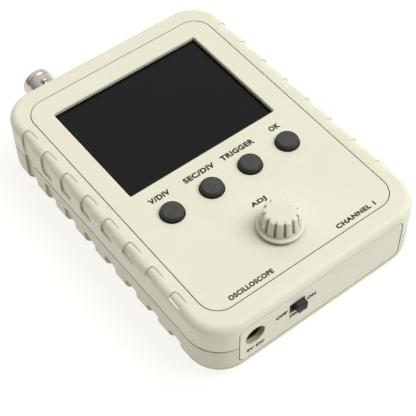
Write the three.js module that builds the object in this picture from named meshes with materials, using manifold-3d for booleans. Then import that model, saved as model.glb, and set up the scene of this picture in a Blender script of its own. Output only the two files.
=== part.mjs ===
// Pocket oscilloscope: a hand-sized two-part case with a colour screen, four push buttons,
// a rotary control knob, a coaxial signal input and a DC power input.
//
// Millimetres. The origin is the centre of the case's back face. +Z points out of the screen,
// +X runs the way the labels read, and +Y points to the end that carries the signal input.

import * as THREE from 'three';
import { mergeVertices } from 'three/addons/utils/BufferGeometryUtils.js';
import Module from 'manifold-3d';

const wasm = await Module();
wasm.setup();

// ---------------------------------------------------------------- driving dimensions

const GAP = 0.3;                  // clearance between pieces that rest on each other

const CASE = {
  width: 75,
  length: 103.1,
  height: 22,
  cornerR: 10.5,
  frontFillet: 2.4,
  backFillet: 4.4,
  wall: 2,
};
const SEAM_Z = 12;                // height of the joint between the two shells
const END_Y = CASE.length / 2;

const FACE = { width: 64, length: 90, cornerR: 6, thick: 1.2 };
const LEDGE = { width: 1.6, thick: 1.1 };
const FACE_BOTTOM = CASE.height - FACE.thick;
const WINDOW = { x0: -25.8, x1: 25.2, y0: 0, y1: 38.5 };
const KEY_X = [-20.2, -6.55, 7, 20.5];
const KEY_NAMES = ['v_div', 'sec_div', 'trigger', 'ok'];
const KEY = { y: -11.7, capR: 3.3, holeR: 3.6, flangeR: 4.3, rise: 1.5 };
const KNOB = {
  x: -0.2,
  y: -33.25,
  baseR: 6.55,
  bodyR: 5.4,
  topR: 4.9,
  clear: 0.6,
  base: 1,
  height: 7.2,
  flutes: 12,
};

const KNOB_BASE_Z = CASE.height + KNOB.clear;

const GRIP = { count: 8, firstY: 38.1, pitch: 10.05, length: 5.4, depth: 0.85 };

const END = { halfW: 28.4, z0: 4.6, z1: 19.5, cornerR: 2, thick: 1.6, inset: 0.15 };
const FLANGE = { sheet: 0.3, lip: 0.9, step: 0.9, depth: 1.6, z0: 7, z1: 17.4 };
const POWER_IN = { x: -23.25, z: 13.2, holeR: 3.15, boreR: 3, pinR: 1 };
const POWER_SWITCH = { x0: -11.6, x1: -6.5, z0: 12, z1: 15.85, leverX: -8.3, z: 13.95, travel: 1.5 };
const LEVER = { halfX: 1.5, rise: 1.6, carriageHalfX: 2.6 };
const INPUT = {
  x: -18,
  z: 10.8,
  barrelR: 4.8,
  boreR: 4.1,
  mouthY: 62.5,
  lugY: 57.4,
  lugR: 1,
  lugRise: 0.9,
};
const COUPLING = { x: 2, z: 8.2, travel: 2, slotHalfZ: 1.6 };
const JACK = { halfW: 4.5, y0: -END_Y + 2.1, y1: -END_Y + 15, boreEnd: -END_Y + 12 };
const TEST_TERMINAL = { x: 19, z: 9, wireR: 0.45, halfW: 1.7, rise: 2.6 };

const MAIN_BOARD = { halfW: 33.5, y0: -21.5, y1: 38.8, z0: 15.2, z1: 16.6 };
const ANALOG_BOARD = { halfW: 33.2, y0: -8, y1: 38.6, tongue: 27.3, yEnd: 49, z0: 3, z1: 4.2 };
const CONTROL_BOARD = { halfW: 33.2, y0: -38.4, y1: -11, tongue: 27.3, yEnd: -48.8, z0: 6.2, z1: 7.4 };
const LCD = { halfW: 29.7, y0: -2.4, y1: 40.2, top: 20.5, glass: 1.2, light: 2.1 };

const ENCODER = {
  half: 6.2,
  z0: CONTROL_BOARD.z1 + GAP,
  z1: 14,
  bushR: 3.9,
  bushTop: 20.3,
  boreR: 3.3,
  rotorR: 5,
  rotorZ0: 10.2,
  rotorZ1: 12,
  shaftR: 3,
  shaftBottom: 9.2,
  shaftTop: 27,
  flatDepth: 1.5,
};
const HEADER = { pins: 8, pitch: 2.54, pinHalf: 0.32, bodyHalf: 1.25, baseH: 2.4 };
const HEADER_HALF_X = HEADER.pins * HEADER.pitch / 2;
const TRIMMER = { half: 3, height: 3, rotorR: 1.9, rotorH: 1.2 };

const CASE_SCREW = { x: 31.6, y: 42.6, headR: 2.4, headH: 1.6, shankR: 1.3, seatZ: 3, length: 15 };
const BOSS = { rearR: 3.4, frontR: 3 };
const BOARD_SCREW = { headR: 1.9, headH: 1.2, shankR: 0.9, holeR: 1.25, bossR: 1.75 };
const MAIN_SCREWS = [[-31.6, 30], [31.6, 30], [-31.6, -14], [31.6, -14]];
const ANALOG_SCREWS = [[-30.5, 33], [30.5, -3]];
const CONTROL_SCREWS = [[-30.5, -18], [30.5, -34]];

// ---------------------------------------------------------------- solids and booleans

function solid(geometry) {
  const bare = geometry.index ? geometry.toNonIndexed() : geometry.clone();
  bare.deleteAttribute('normal');
  bare.deleteAttribute('uv');
  const merged = mergeVertices(bare, 1e-4);
  return new wasm.Manifold(new wasm.Mesh({
    numProp: 3,
    vertProperties: new Float32Array(merged.attributes.position.array),
    triVerts: new Uint32Array(merged.index.array),
  }));
}

function join(first, ...others) {
  return others.reduce((sum, other) => sum.add(other), first);
}

function cut(first, ...others) {
  return others.reduce((rest, other) => rest.subtract(other), first);
}

function toGeometry(manifold) {
  const mesh = manifold.getMesh();
  const geometry = new THREE.BufferGeometry();
  geometry.setAttribute('position', new THREE.BufferAttribute(new Float32Array(mesh.vertProperties), 3));
  geometry.setIndex(new THREE.BufferAttribute(new Uint32Array(mesh.triVerts), 1));
  geometry.computeVertexNormals();
  return geometry;
}

function roundedOutline(x0, x1, y0, y1, r) {
  const shape = new THREE.Shape();
  shape.moveTo(x1, y0 + r);
  shape.lineTo(x1, y1 - r);
  shape.absarc(x1 - r, y1 - r, r, 0, Math.PI / 2, false);
  shape.lineTo(x0 + r, y1);
  shape.absarc(x0 + r, y1 - r, r, Math.PI / 2, Math.PI, false);
  shape.lineTo(x0, y0 + r);
  shape.absarc(x0 + r, y0 + r, r, Math.PI, 1.5 * Math.PI, false);
  shape.lineTo(x1 - r, y0);
  shape.absarc(x1 - r, y0 + r, r, 1.5 * Math.PI, 2 * Math.PI, false);
  return shape;
}

function extrudeZ(shape, z0, z1, curveSegments = 6) {
  const geometry = new THREE.ExtrudeGeometry(shape, { depth: z1 - z0, bevelEnabled: false, curveSegments });
  geometry.translate(0, 0, z0);
  return solid(geometry);
}

// The shape's own x and y become the part's X and Z, and it is extruded from y0 to y1.
function extrudeY(shape, y0, y1, curveSegments = 6) {
  const geometry = new THREE.ExtrudeGeometry(shape, { depth: y1 - y0, bevelEnabled: false, curveSegments });
  geometry.rotateX(Math.PI / 2);
  geometry.translate(0, y1, 0);
  return solid(geometry);
}

// The shape's own x and y become the part's Y and Z, and it is extruded from x0 to x1.
function extrudeX(shape, x0, x1) {
  const geometry = new THREE.ExtrudeGeometry(shape, { depth: x1 - x0, bevelEnabled: false });
  geometry.rotateX(Math.PI / 2);
  geometry.rotateZ(Math.PI / 2);
  geometry.translate(x0, 0, 0);
  return solid(geometry);
}

// A rounded slab whose long edges are filleted at both faces.
function filletedSlab(inset, z0, z1, fillet) {
  const halfW = CASE.width / 2 - inset;
  const halfL = CASE.length / 2 - inset;
  const geometry = new THREE.ExtrudeGeometry(
    roundedOutline(-halfW, halfW, -halfL, halfL, CASE.cornerR - inset),
    {
      depth: z1 - z0 - 2 * fillet,
      bevelThickness: fillet,
      bevelSize: fillet,
      bevelOffset: -fillet,
      bevelSegments: 3,
      curveSegments: 6,
    },
  );
  geometry.translate(0, 0, z0 + fillet);
  return solid(geometry);
}

function box(x0, x1, y0, y1, z0, z1) {
  const geometry = new THREE.BoxGeometry(x1 - x0, y1 - y0, z1 - z0);
  geometry.translate((x0 + x1) / 2, (y0 + y1) / 2, (z0 + z1) / 2);
  return solid(geometry);
}

// A box given by any two opposite edges in X and Y.
function slab(xa, xb, ya, yb, z0, z1) {
  return box(Math.min(xa, xb), Math.max(xa, xb), Math.min(ya, yb), Math.max(ya, yb), z0, z1);
}

function postZ(x, y, r, z0, z1, sides = 20) {
  const geometry = new THREE.CylinderGeometry(r, r, z1 - z0, sides);
  geometry.rotateX(Math.PI / 2);
  geometry.translate(x, y, (z0 + z1) / 2);
  return solid(geometry);
}

function rodY(x, z, r, y0, y1, sides = 24) {
  const geometry = new THREE.CylinderGeometry(r, r, y1 - y0, sides);
  geometry.translate(x, (y0 + y1) / 2, z);
  return solid(geometry);
}

// Turns a profile of [radius, height] points about Z through (x, y). It closes on itself or
// runs from axis to axis, with the height rising along its outside.
function turnedZ(x, y, profile, sides) {
  const geometry = new THREE.LatheGeometry(profile.map(([r, h]) => new THREE.Vector2(r, h)), sides);
  geometry.rotateX(Math.PI / 2);
  geometry.translate(x, y, 0);
  return solid(geometry);
}

// Turns a profile of [radius, distance] points about an axis along +Y through (x, z).
function turnedY(x, z, profile, sides) {
  const geometry = new THREE.LatheGeometry(profile.map(([r, d]) => new THREE.Vector2(r, d)), sides);
  geometry.translate(x, 0, z);
  return solid(geometry);
}

// ---------------------------------------------------------------- materials and the group

const FINISHES = {
  caseplastic: [0xe6e1cb, 0.55, 0],
  black: [0x3c3938, 0.5, 0],
  glass: [0x1b1c1f, 0.15, 0],
  whiteplastic: [0xe9e9e4, 0.5, 0],
  board: [0x1f5a34, 0.5, 0],
  ribbon: [0xb0702c, 0.5, 0],
  nickel: [0xb8b3a9, 0.3, 1],
  steel: [0x9b9b98, 0.35, 1],
  brass: [0xc7a24a, 0.35, 1],
  chip: [0x242424, 0.6, 0],
};

const oscilloscope = new THREE.Group();

function piece(name, finish, manifold) {
  const [color, roughness, metalness] = FINISHES[finish];
  const material = new THREE.MeshStandardMaterial({ color, roughness, metalness });
  const mesh = new THREE.Mesh(toGeometry(manifold), material);
  mesh.name = name;
  oscilloscope.add(mesh);
}

// ---------------------------------------------------------------- grip recesses

// Height of the lower end of a front recess, and of the upper end of a rear one. The two sets
// draw away from the seam towards the power end, and the recess nearest the signal input runs
// straight through the seam.
function frontGripZ(k) {
  return k === 0 ? SEAM_Z - 1 : 13.3 + 1.08 * k;
}

function rearGripZ(k) {
  return k === 0 ? SEAM_Z + 1 : 5.6 + 6.3 * Math.exp(-0.38 * k);
}

// A cutter for one recess, steep at its +Y end and running out gently at its -Y end. Its floor
// leans by lean millimetres for each millimetre of height from leanZ.
function gripCutter(side, k, z0, z1, lean, leanZ) {
  const y1 = GRIP.firstY - GRIP.pitch * k;
  const floor = CASE.width / 2 - GRIP.depth;
  const outside = CASE.width / 2 + 4;
  const shape = new THREE.Shape();
  shape.moveTo(outside, y1);
  shape.lineTo(floor, y1);
  shape.lineTo(floor, y1 - GRIP.length / 2);
  shape.lineTo(CASE.width / 2 - GRIP.depth / 2, y1 - GRIP.length + 0.6);
  shape.lineTo(CASE.width / 2 + 0.1, y1 - GRIP.length);
  shape.lineTo(outside, y1 - GRIP.length);
  const geometry = new THREE.ExtrudeGeometry(shape, { depth: z1 - z0, bevelEnabled: false });
  geometry.translate(0, 0, z0 - leanZ);
  geometry.applyMatrix4(new THREE.Matrix4().set(1, 0, lean, 0, 0, 1, 0, 0, 0, 0, 1, 0, 0, 0, 0, 1));
  geometry.translate(0, 0, leanZ);
  if (side < 0) {
    mirrorX(geometry);
  }
  return solid(geometry);
}

// Mirrors a triangle soup in X and turns its triangles round again, so that they still face out.
function mirrorX(geometry) {
  geometry.scale(-1, 1, 1);
  const position = geometry.attributes.position;
  for (let i = 0; i < position.count; i += 3) {
    const b = new THREE.Vector3().fromBufferAttribute(position, i + 1);
    const c = new THREE.Vector3().fromBufferAttribute(position, i + 2);
    position.setXYZ(i + 1, c.x, c.y, c.z);
    position.setXYZ(i + 2, b.x, b.y, b.z);
  }
}

function forEachGrip(cutterOf) {
  const cutters = [];
  for (const side of [-1, 1]) {
    for (let k = 0; k < GRIP.count; k += 1) {
      cutters.push(cutterOf(side, k));
    }
  }
  return cutters;
}

// ---------------------------------------------------------------- case

const INNER_TOP = CASE.height - CASE.wall;

function faceOutline(margin) {
  const { width, length, cornerR } = FACE;
  return roundedOutline(
    -width / 2 - margin, width / 2 + margin, -length / 2 - margin, length / 2 + margin, cornerR + margin,
  );
}

function endOutline(margin) {
  return roundedOutline(
    -END.halfW - margin, END.halfW + margin, END.z0 - margin, END.z1 + margin, END.cornerR + margin,
  );
}

function endOpenings() {
  const reach = 5;
  return [
    extrudeY(endOutline(GAP), -END_Y - reach, -END_Y + reach, 3),
    extrudeY(endOutline(GAP), END_Y - reach, END_Y + reach, 3),
  ];
}

function caseScrewSpots() {
  const spots = [];
  for (const sideY of [-1, 1]) {
    for (const sideX of [-1, 1]) {
      spots.push([sideX * CASE_SCREW.x, sideY * CASE_SCREW.y]);
    }
  }
  return spots;
}

function frontShell() {
  const z0 = SEAM_Z + GAP / 2;
  const lean = -0.65;
  const leanZ = 19.2;
  let shell = filletedSlab(0, -10, CASE.height, CASE.frontFillet);
  shell = cut(shell, filletedSlab(CASE.wall, -12, INNER_TOP, 0.8));
  const posts = caseScrewSpots().map(([x, y]) => postZ(x, y, BOSS.frontR, z0, INNER_TOP + 0.5));
  const mainPosts = MAIN_SCREWS.map(([x, y]) => (
    postZ(x, y, BOARD_SCREW.bossR, MAIN_BOARD.z1 + GAP, INNER_TOP + 0.5, 16)
  ));
  const ledge = extrudeZ(faceOutline(3), FACE_BOTTOM - GAP - LEDGE.thick, FACE_BOTTOM);
  shell = join(shell, ...posts, ...mainPosts, ledge);
  shell = cut(
    shell,
    extrudeZ(faceOutline(GAP), FACE_BOTTOM - GAP, CASE.height + 1),
    extrudeZ(faceOutline(-LEDGE.width), 0, CASE.height + 1),
  );
  const pilotR = CASE_SCREW.shankR + GAP;
  const frontPilots = caseScrewSpots().map(([x, y]) => postZ(x, y, pilotR, z0 - 1, 18.5, 16));
  const mainPilots = MAIN_SCREWS.map(([x, y]) => postZ(x, y, BOARD_SCREW.holeR, 10, 19.3, 12));
  shell = cut(shell, ...frontPilots, ...mainPilots, ...endOpenings());
  const above = CASE.height + 2;
  shell = cut(shell, ...forEachGrip((side, k) => gripCutter(side, k, frontGripZ(k), above, 0, 0)));
  shell = cut(shell, ...forEachGrip((side, k) => (
    gripCutter(side, k, Math.max(frontGripZ(k), leanZ), above, lean, leanZ)
  )));
  return cut(shell, box(-50, 50, -70, 70, -20, z0));
}

function rearShell() {
  const z1 = SEAM_Z - GAP / 2;
  const lean = 0.6;
  const leanZ = 4;
  let shell = filletedSlab(0, 0, CASE.height + 10, CASE.backFillet);
  shell = cut(shell, filletedSlab(CASE.wall, CASE.wall, CASE.height + 12, CASE.backFillet - CASE.wall));
  const posts = caseScrewSpots().map(([x, y]) => postZ(x, y, BOSS.rearR, CASE.wall - 0.5, z1));
  const analogPosts = ANALOG_SCREWS.map(([x, y]) => (
    postZ(x, y, BOARD_SCREW.bossR + 0.4, CASE.wall - 0.5, ANALOG_BOARD.z0 - GAP, 16)
  ));
  const controlPosts = CONTROL_SCREWS.map(([x, y]) => (
    postZ(x, y, BOARD_SCREW.bossR + 0.4, CASE.wall - 0.5, CONTROL_BOARD.z0 - GAP, 16)
  ));
  shell = join(shell, ...posts, ...analogPosts, ...controlPosts);
  const seats = caseScrewSpots().map(([x, y]) => postZ(x, y, CASE_SCREW.headR + GAP, -1, CASE_SCREW.seatZ));
  const bores = caseScrewSpots().map(([x, y]) => postZ(x, y, CASE_SCREW.shankR + GAP, -1, z1 + 1, 16));
  const pilots = [...ANALOG_SCREWS, ...CONTROL_SCREWS].map(([x, y]) => (
    postZ(x, y, BOARD_SCREW.holeR, 0.8, SEAM_Z, 12)
  ));
  shell = cut(shell, ...seats, ...bores, ...pilots, ...endOpenings());
  shell = cut(shell, ...forEachGrip((side, k) => gripCutter(side, k, leanZ - 0.5, rearGripZ(k), 0, 0)));
  shell = cut(shell, ...forEachGrip((side, k) => gripCutter(side, k, -2, leanZ, lean, leanZ)));
  return cut(shell, box(-50, 50, -70, 70, z1, CASE.height + 20));
}

function frontPanel() {
  const plate = extrudeZ(faceOutline(0), FACE_BOTTOM, CASE.height);
  const window = box(WINDOW.x0, WINDOW.x1, WINDOW.y0, WINDOW.y1, FACE_BOTTOM - 1, CASE.height + 1);
  const keys = KEY_X.map((x) => postZ(x, KEY.y, KEY.holeR, FACE_BOTTOM - 1, CASE.height + 1, 28));
  const shaftHole = postZ(KNOB.x, KNOB.y, ENCODER.bushR + 0.5, FACE_BOTTOM - 1, CASE.height + 1, 24);
  return cut(plate, window, ...keys, shaftHole);
}

// An end panel is a plate that fills the opening in both shells. A flange at each side catches
// behind the end wall and keeps the plate from falling out.
function endPanel(direction) {
  const outer = direction * (END_Y - END.inset);
  const inner = outer - direction * END.thick;
  const plate = extrudeY(endOutline(0), Math.min(outer, inner), Math.max(outer, inner), 4);
  const { sheet, lip, step, depth, z0, z1 } = FLANGE;
  const flanges = [-1, 1].map((side) => {
    const edge = side * END.halfW;
    const back = inner - direction * depth;
    const stem = slab(edge - side * sheet, edge, outer - direction * END.inset, back, z0, z1);
    const catcher = slab(edge - side * sheet, edge + side * lip, inner - direction * step, back, z0, z1);
    return join(stem, catcher);
  });
  return join(plate, ...flanges);
}

function bottomEndPanel() {
  const y0 = -END_Y - 1;
  const y1 = -END_Y + 4;
  const { x0, x1, z0, z1 } = POWER_SWITCH;
  return cut(
    endPanel(-1),
    rodY(POWER_IN.x, POWER_IN.z, POWER_IN.holeR, y0, y1, 28),
    box(x0, x1, y0, y1, z0, z1),
  );
}

function topEndPanel() {
  const y0 = END_Y - 4;
  const y1 = END_Y + 1;
  const { x, z, travel, slotHalfZ } = COUPLING;
  const slotHalf = LEVER.halfX + travel + 0.4;
  return cut(
    endPanel(1),
    rodY(INPUT.x, INPUT.z, INPUT.barrelR + 0.45, y0, y1, 28),
    box(x - slotHalf, x + slotHalf, y0, y1, z - slotHalfZ, z + slotHalfZ),
    box(TEST_TERMINAL.x - 2.8, TEST_TERMINAL.x + 2.8, y0, y1, TEST_TERMINAL.z - 1.2, TEST_TERMINAL.z + 1.2),
  );
}

// ---------------------------------------------------------------- screen

function lcdGlass() {
  return box(-LCD.halfW, LCD.halfW, LCD.y0, LCD.y1, LCD.top - LCD.glass, LCD.top);
}

function lcdBacklight() {
  const z1 = LCD.top - LCD.glass - GAP;
  return box(-LCD.halfW, LCD.halfW, LCD.y0, LCD.y1, z1 - LCD.light, z1);
}

// The flat ribbon leaves the glass at its +Y edge and folds under the main board.
function lcdRibbon() {
  const thick = 0.3;
  const start = LCD.y1 + GAP;
  const bend = start + 1.2;
  const top = LCD.top - LCD.glass / 2;
  const under = MAIN_BOARD.z0 - GAP;
  const shape = new THREE.Shape();
  shape.moveTo(start, top);
  shape.lineTo(bend - 0.5, top);
  shape.lineTo(bend, top - 0.5);
  shape.lineTo(bend, under - thick + 0.5);
  shape.lineTo(bend - 0.5, under - thick);
  shape.lineTo(MAIN_BOARD.y1 - 6, under - thick);
  shape.lineTo(MAIN_BOARD.y1 - 6, under);
  shape.lineTo(bend - 0.5 - thick / 2, under);
  shape.lineTo(bend - thick, under + 0.5);
  shape.lineTo(bend - thick, top - 0.5 - thick / 2);
  shape.lineTo(bend - 0.5 - thick / 2, top - thick);
  shape.lineTo(start, top - thick);
  return extrudeX(shape, -11, 11);
}

// ---------------------------------------------------------------- boards

function boardHoles(spots, z0, z1) {
  return spots.map(([x, y]) => postZ(x, y, BOARD_SCREW.holeR, z0 - 1, z1 + 1, 12));
}

function mainBoard() {
  const { halfW, y0, y1, z0, z1 } = MAIN_BOARD;
  const plate = extrudeZ(roundedOutline(-halfW, halfW, y0, y1, 1), z0, z1, 2);
  return cut(plate, ...boardHoles(MAIN_SCREWS, z0, z1));
}

function analogBoard() {
  const { halfW, y0, y1, tongue, yEnd, z0, z1 } = ANALOG_BOARD;
  const plate = join(box(-halfW, halfW, y0, y1, z0, z1), box(-tongue, tongue, y1 - 1, yEnd, z0, z1));
  return cut(plate, ...boardHoles(ANALOG_SCREWS, z0, z1));
}

function controlBoard() {
  const { halfW, y0, y1, tongue, yEnd, z0, z1 } = CONTROL_BOARD;
  const plate = join(box(-halfW, halfW, y0, y1, z0, z1), box(-tongue, tongue, yEnd, y0 + 1, z0, z1));
  return cut(plate, ...boardHoles(CONTROL_SCREWS, z0, z1));
}

// Pins that stand up from a lower board on a plastic strip.
function headerPins(y, boardTop, tipZ) {
  const base = boardTop + GAP;
  const strip = box(
    -HEADER_HALF_X, HEADER_HALF_X, y - HEADER.bodyHalf, y + HEADER.bodyHalf, base, base + HEADER.baseH,
  );
  const pins = [];
  for (let i = 0; i < HEADER.pins; i += 1) {
    const x = (i - (HEADER.pins - 1) / 2) * HEADER.pitch;
    const half = HEADER.pinHalf;
    pins.push(box(x - half, x + half, y - half, y + half, base + HEADER.baseH - 0.2, tipZ));
  }
  return join(strip, ...pins);
}

// A socket strip that hangs under the main board, with one long contact slot.
function headerSocket(y, bottomZ) {
  const top = MAIN_BOARD.z0 - GAP;
  const slotHalf = HEADER.pinHalf + GAP;
  return cut(
    box(-HEADER_HALF_X, HEADER_HALF_X, y - HEADER.bodyHalf, y + HEADER.bodyHalf, bottomZ, top),
    box(-HEADER_HALF_X + 0.6, HEADER_HALF_X - 0.6, y - slotHalf, y + slotHalf, bottomZ - 1, top - 0.6),
  );
}

// ---------------------------------------------------------------- push buttons

const SWITCH_TOP = MAIN_BOARD.z1 + GAP + 2;

function keyCap(x) {
  const top = CASE.height + KEY.rise;
  const flangeTop = FACE_BOTTOM - GAP;
  const flangeBottom = flangeTop - 0.7;
  return turnedZ(x, KEY.y, [
    [0, SWITCH_TOP + GAP],
    [1.4, SWITCH_TOP + GAP],
    [1.4, flangeBottom],
    [KEY.flangeR, flangeBottom],
    [KEY.flangeR, flangeTop],
    [KEY.capR, flangeTop],
    [KEY.capR, top - 0.5],
    [KEY.capR - 0.45, top - 0.1],
    [0, top],
  ], 24);
}

function tactSwitch(x) {
  const half = 3;
  const z0 = MAIN_BOARD.z1 + GAP;
  const body = box(x - half, x + half, KEY.y - half, KEY.y + half, z0, SWITCH_TOP);
  const rim = postZ(x, KEY.y, 1.9, SWITCH_TOP - 0.5, SWITCH_TOP + 1, 20);
  return cut(body, rim);
}

// ---------------------------------------------------------------- rotary encoder and knob

function encoderBody() {
  const { x, y } = KNOB;
  const { half, z0, z1, bushR, bushTop, boreR, rotorR, rotorZ0, rotorZ1 } = ENCODER;
  const can = box(x - half, x + half, y - half, y + half, z0, z1);
  const bush = postZ(x, y, bushR, z1 - 0.5, bushTop, 24);
  return cut(
    join(can, bush),
    postZ(x, y, boreR, z0 + 0.8, bushTop + 1, 28),
    postZ(x, y, rotorR + GAP, rotorZ0 - GAP, rotorZ1 + GAP, 28),
  );
}

function encoderRotor() {
  const { x, y } = KNOB;
  const { boreR, rotorR, rotorZ0, rotorZ1 } = ENCODER;
  return turnedZ(x, y, [
    [boreR, rotorZ0],
    [rotorR, rotorZ0],
    [rotorR, rotorZ1],
    [boreR, rotorZ1],
    [boreR, rotorZ0],
  ], 28);
}

function encoderShaft() {
  const { shaftR, shaftBottom, shaftTop, flatDepth } = ENCODER;
  const flatY = KNOB.y + shaftR - flatDepth;
  return cut(
    postZ(KNOB.x, KNOB.y, shaftR, shaftBottom, shaftTop, 28),
    box(KNOB.x - 6, KNOB.x + 6, flatY, flatY + 6, KNOB_BASE_Z, shaftTop + 1),
  );
}

// The outline of the knob's grip: twelve narrow grooves between wide ribs.
function flutedOutline(r) {
  const depth = 0.45;
  const grooveHalf = 0.085;
  const shape = new THREE.Shape();
  const pitch = 2 * Math.PI / KNOB.flutes;
  for (let i = 0; i < KNOB.flutes; i += 1) {
    const groove = THREE.MathUtils.degToRad(3) + i * pitch;
    const spots = [
      [groove - grooveHalf, r],
      [groove, r - depth],
      [groove + grooveHalf, r],
      [groove + pitch / 2, r],
    ];
    for (const [angle, radius] of spots) {
      const px = radius * Math.cos(angle);
      const py = radius * Math.sin(angle);
      if (i === 0 && angle === spots[0][0]) {
        shape.moveTo(px, py);
      } else {
        shape.lineTo(px, py);
      }
    }
  }
  return shape;
}

function knob() {
  const z0 = KNOB_BASE_Z;
  const shoulder = z0 + KNOB.base;
  const top = CASE.height + KNOB.height;
  const grip = new THREE.ExtrudeGeometry(flutedOutline(KNOB.bodyR), {
    depth: top - 0.7 - (shoulder - 0.3),
    bevelThickness: 0.7,
    bevelSize: 0.7,
    bevelOffset: -0.7,
    bevelSegments: 2,
  });
  grip.translate(0, 0, shoulder - 0.3);
  const position = grip.attributes.position;
  for (let i = 0; i < position.count; i += 1) {
    const t = (position.getZ(i) - shoulder) / (top - shoulder);
    const scale = 1 - (1 - KNOB.topR / KNOB.bodyR) * THREE.MathUtils.clamp(t, 0, 1);
    position.setXY(i, position.getX(i) * scale, position.getY(i) * scale);
  }
  grip.translate(KNOB.x, KNOB.y, 0);
  const flange = turnedZ(KNOB.x, KNOB.y, [
    [0, z0],
    [KNOB.baseR - 0.2, z0],
    [KNOB.baseR, z0 + 0.3],
    [KNOB.baseR, z0 + KNOB.base - 0.3],
    [KNOB.baseR - 0.4, shoulder],
    [0, shoulder + 0.2],
  ], 40);
  const bore = postZ(KNOB.x, KNOB.y, ENCODER.shaftR + GAP, z0 - 1, ENCODER.shaftTop + GAP, 28);
  return cut(join(solid(grip), flange), bore);
}

// ---------------------------------------------------------------- signal input

function bncShell() {
  const { x, z, barrelR, boreR, mouthY, lugY, lugR, lugRise } = INPUT;
  const rear = END_Y - 4.5;
  const barrel = turnedY(x, z, [
    [2.6, rear],
    [barrelR, rear],
    [barrelR, mouthY - 0.4],
    [barrelR - 0.4, mouthY],
    [boreR, mouthY],
    [boreR, END_Y + 2],
    [2.6, END_Y + 2],
    [2.6, rear],
  ], 32);
  const lugRoot = barrelR - 0.5;
  const lugTip = barrelR + lugRise;
  const lugs = [
    postZ(x, lugY, lugR, z + lugRoot, z + lugTip, 16),
    postZ(x, lugY, lugR, z - lugTip, z - lugRoot, 16),
  ];
  return join(barrel, ...lugs);
}

function bncInsulator() {
  const { x, z, mouthY } = INPUT;
  const rear = END_Y - 4.2;
  return turnedY(x, z, [
    [1.1, rear],
    [2.3, rear],
    [2.3, mouthY - 2.4],
    [1.1, mouthY - 2.4],
    [1.1, rear],
  ], 20);
}

function bncContact() {
  const { x, z, mouthY } = INPUT;
  return rodY(x, z, 0.8, END_Y - 12, mouthY - 2.8, 12);
}

// The jack's base block stands on the analog board behind the end panel.
function bncBase() {
  const { x, z } = INPUT;
  const half = 6.4;
  const depth = 6.1;
  const y1 = END_Y - 4.5 - GAP;
  return cut(
    box(x - half, x + half, y1 - depth, y1, ANALOG_BOARD.z1 + GAP, z + half),
    rodY(x, z, 1.1, y1 - depth - 1, y1 + 1, 16),
  );
}

// ---------------------------------------------------------------- slide switches

// A slide switch: a box with a channel in which its lever's carriage runs.
function slideSwitchBody(x, z, wallY, direction, halfW, halfH, legsTo) {
  const depth = 4.6;
  const y0 = wallY;
  const y1 = wallY - direction * depth;
  const low = Math.min(y0, y1);
  const high = Math.max(y0, y1);
  const channelBack = wallY - direction * (depth - 0.8);
  const body = box(x - halfW, x + halfW, low, high, z - halfH, z + halfH);
  const channel = slab(
    x - halfW + 0.7, x + halfW - 0.7, channelBack, wallY + direction, z - halfH + 0.6, z + halfH - 0.6,
  );
  const midY = (low + high) / 2;
  const legs = [-0.7, 0, 0.7].map((t) => {
    const legX = x + t * halfW;
    return box(legX - 0.3, legX + 0.3, midY - 0.3, midY + 0.3, legsTo, z - halfH + 0.3);
  });
  return join(cut(body, channel), ...legs);
}

function slideSwitchLever(x, z, wallY, direction, halfZ) {
  const { halfX, rise, carriageHalfX } = LEVER;
  const tipY = direction * (END_Y + rise);
  const y0 = wallY - direction * 3.4;
  const y1 = wallY - direction * 0.9;
  const stem = slab(x - halfX, x + halfX, y0, tipY, z - halfZ, z + halfZ);
  const base = slab(x - carriageHalfX, x + carriageHalfX, y0, y1, z - halfZ, z + halfZ);
  return join(stem, base);
}

// ---------------------------------------------------------------- power input

function dcJackBody() {
  const { x, z, boreR, pinR } = POWER_IN;
  return cut(
    box(x - JACK.halfW, x + JACK.halfW, JACK.y0, JACK.y1, CONTROL_BOARD.z1 + GAP, z + JACK.halfW),
    rodY(x, z, boreR, JACK.y0 - 1, JACK.boreEnd, 28),
    rodY(x, z, pinR + GAP, JACK.y0 - 1, JACK.y1 + 1, 16),
  );
}

function dcJackPin() {
  return rodY(POWER_IN.x, POWER_IN.z, POWER_IN.pinR, JACK.y0 + 1, JACK.y1 + 0.8, 16);
}

// ---------------------------------------------------------------- test signal terminal

function testTerminal() {
  const { x, z, wireR, halfW, rise } = TEST_TERMINAL;
  const tip = END_Y + rise;
  const foot = END_Y - 6;
  const point = (dx, y) => new THREE.Vector3(x + dx, y, z);
  const path = new THREE.CurvePath();
  path.add(new THREE.LineCurve3(point(-halfW, foot), point(-halfW, tip - halfW)));
  path.add(new THREE.CatmullRomCurve3([
    point(-halfW, tip - halfW),
    point(-halfW * Math.SQRT1_2, tip - halfW * (1 - Math.SQRT1_2)),
    point(0, tip),
    point(halfW * Math.SQRT1_2, tip - halfW * (1 - Math.SQRT1_2)),
    point(halfW, tip - halfW),
  ]));
  path.add(new THREE.LineCurve3(point(halfW, tip - halfW), point(halfW, foot)));
  const section = new THREE.Shape();
  section.absarc(0, 0, wireR, 0, 2 * Math.PI, false);
  const loop = new THREE.ExtrudeGeometry(section, { steps: 16, extrudePath: path, curveSegments: 3 });
  const legs = [-halfW, halfW].map((dx) => postZ(x + dx, foot + 0.4, 0.4, ANALOG_BOARD.z1 + GAP, z, 8));
  return join(solid(loop), ...legs);
}

// ---------------------------------------------------------------- board components

function shieldCan() {
  const z0 = ANALOG_BOARD.z1 + GAP;
  const top = z0 + 4.6;
  const sheet = 0.5;
  const [x0, x1, y0, y1] = [-29, -9, 4, 28];
  return cut(
    box(x0, x1, y0, y1, z0, top),
    box(x0 + sheet, x1 - sheet, y0 + sheet, y1 - sheet, z0 - 1, top - sheet),
  );
}

function chip(x, y, half, z0, z1) {
  return box(x - half, x + half, y - half, y + half, z0, z1);
}

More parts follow.
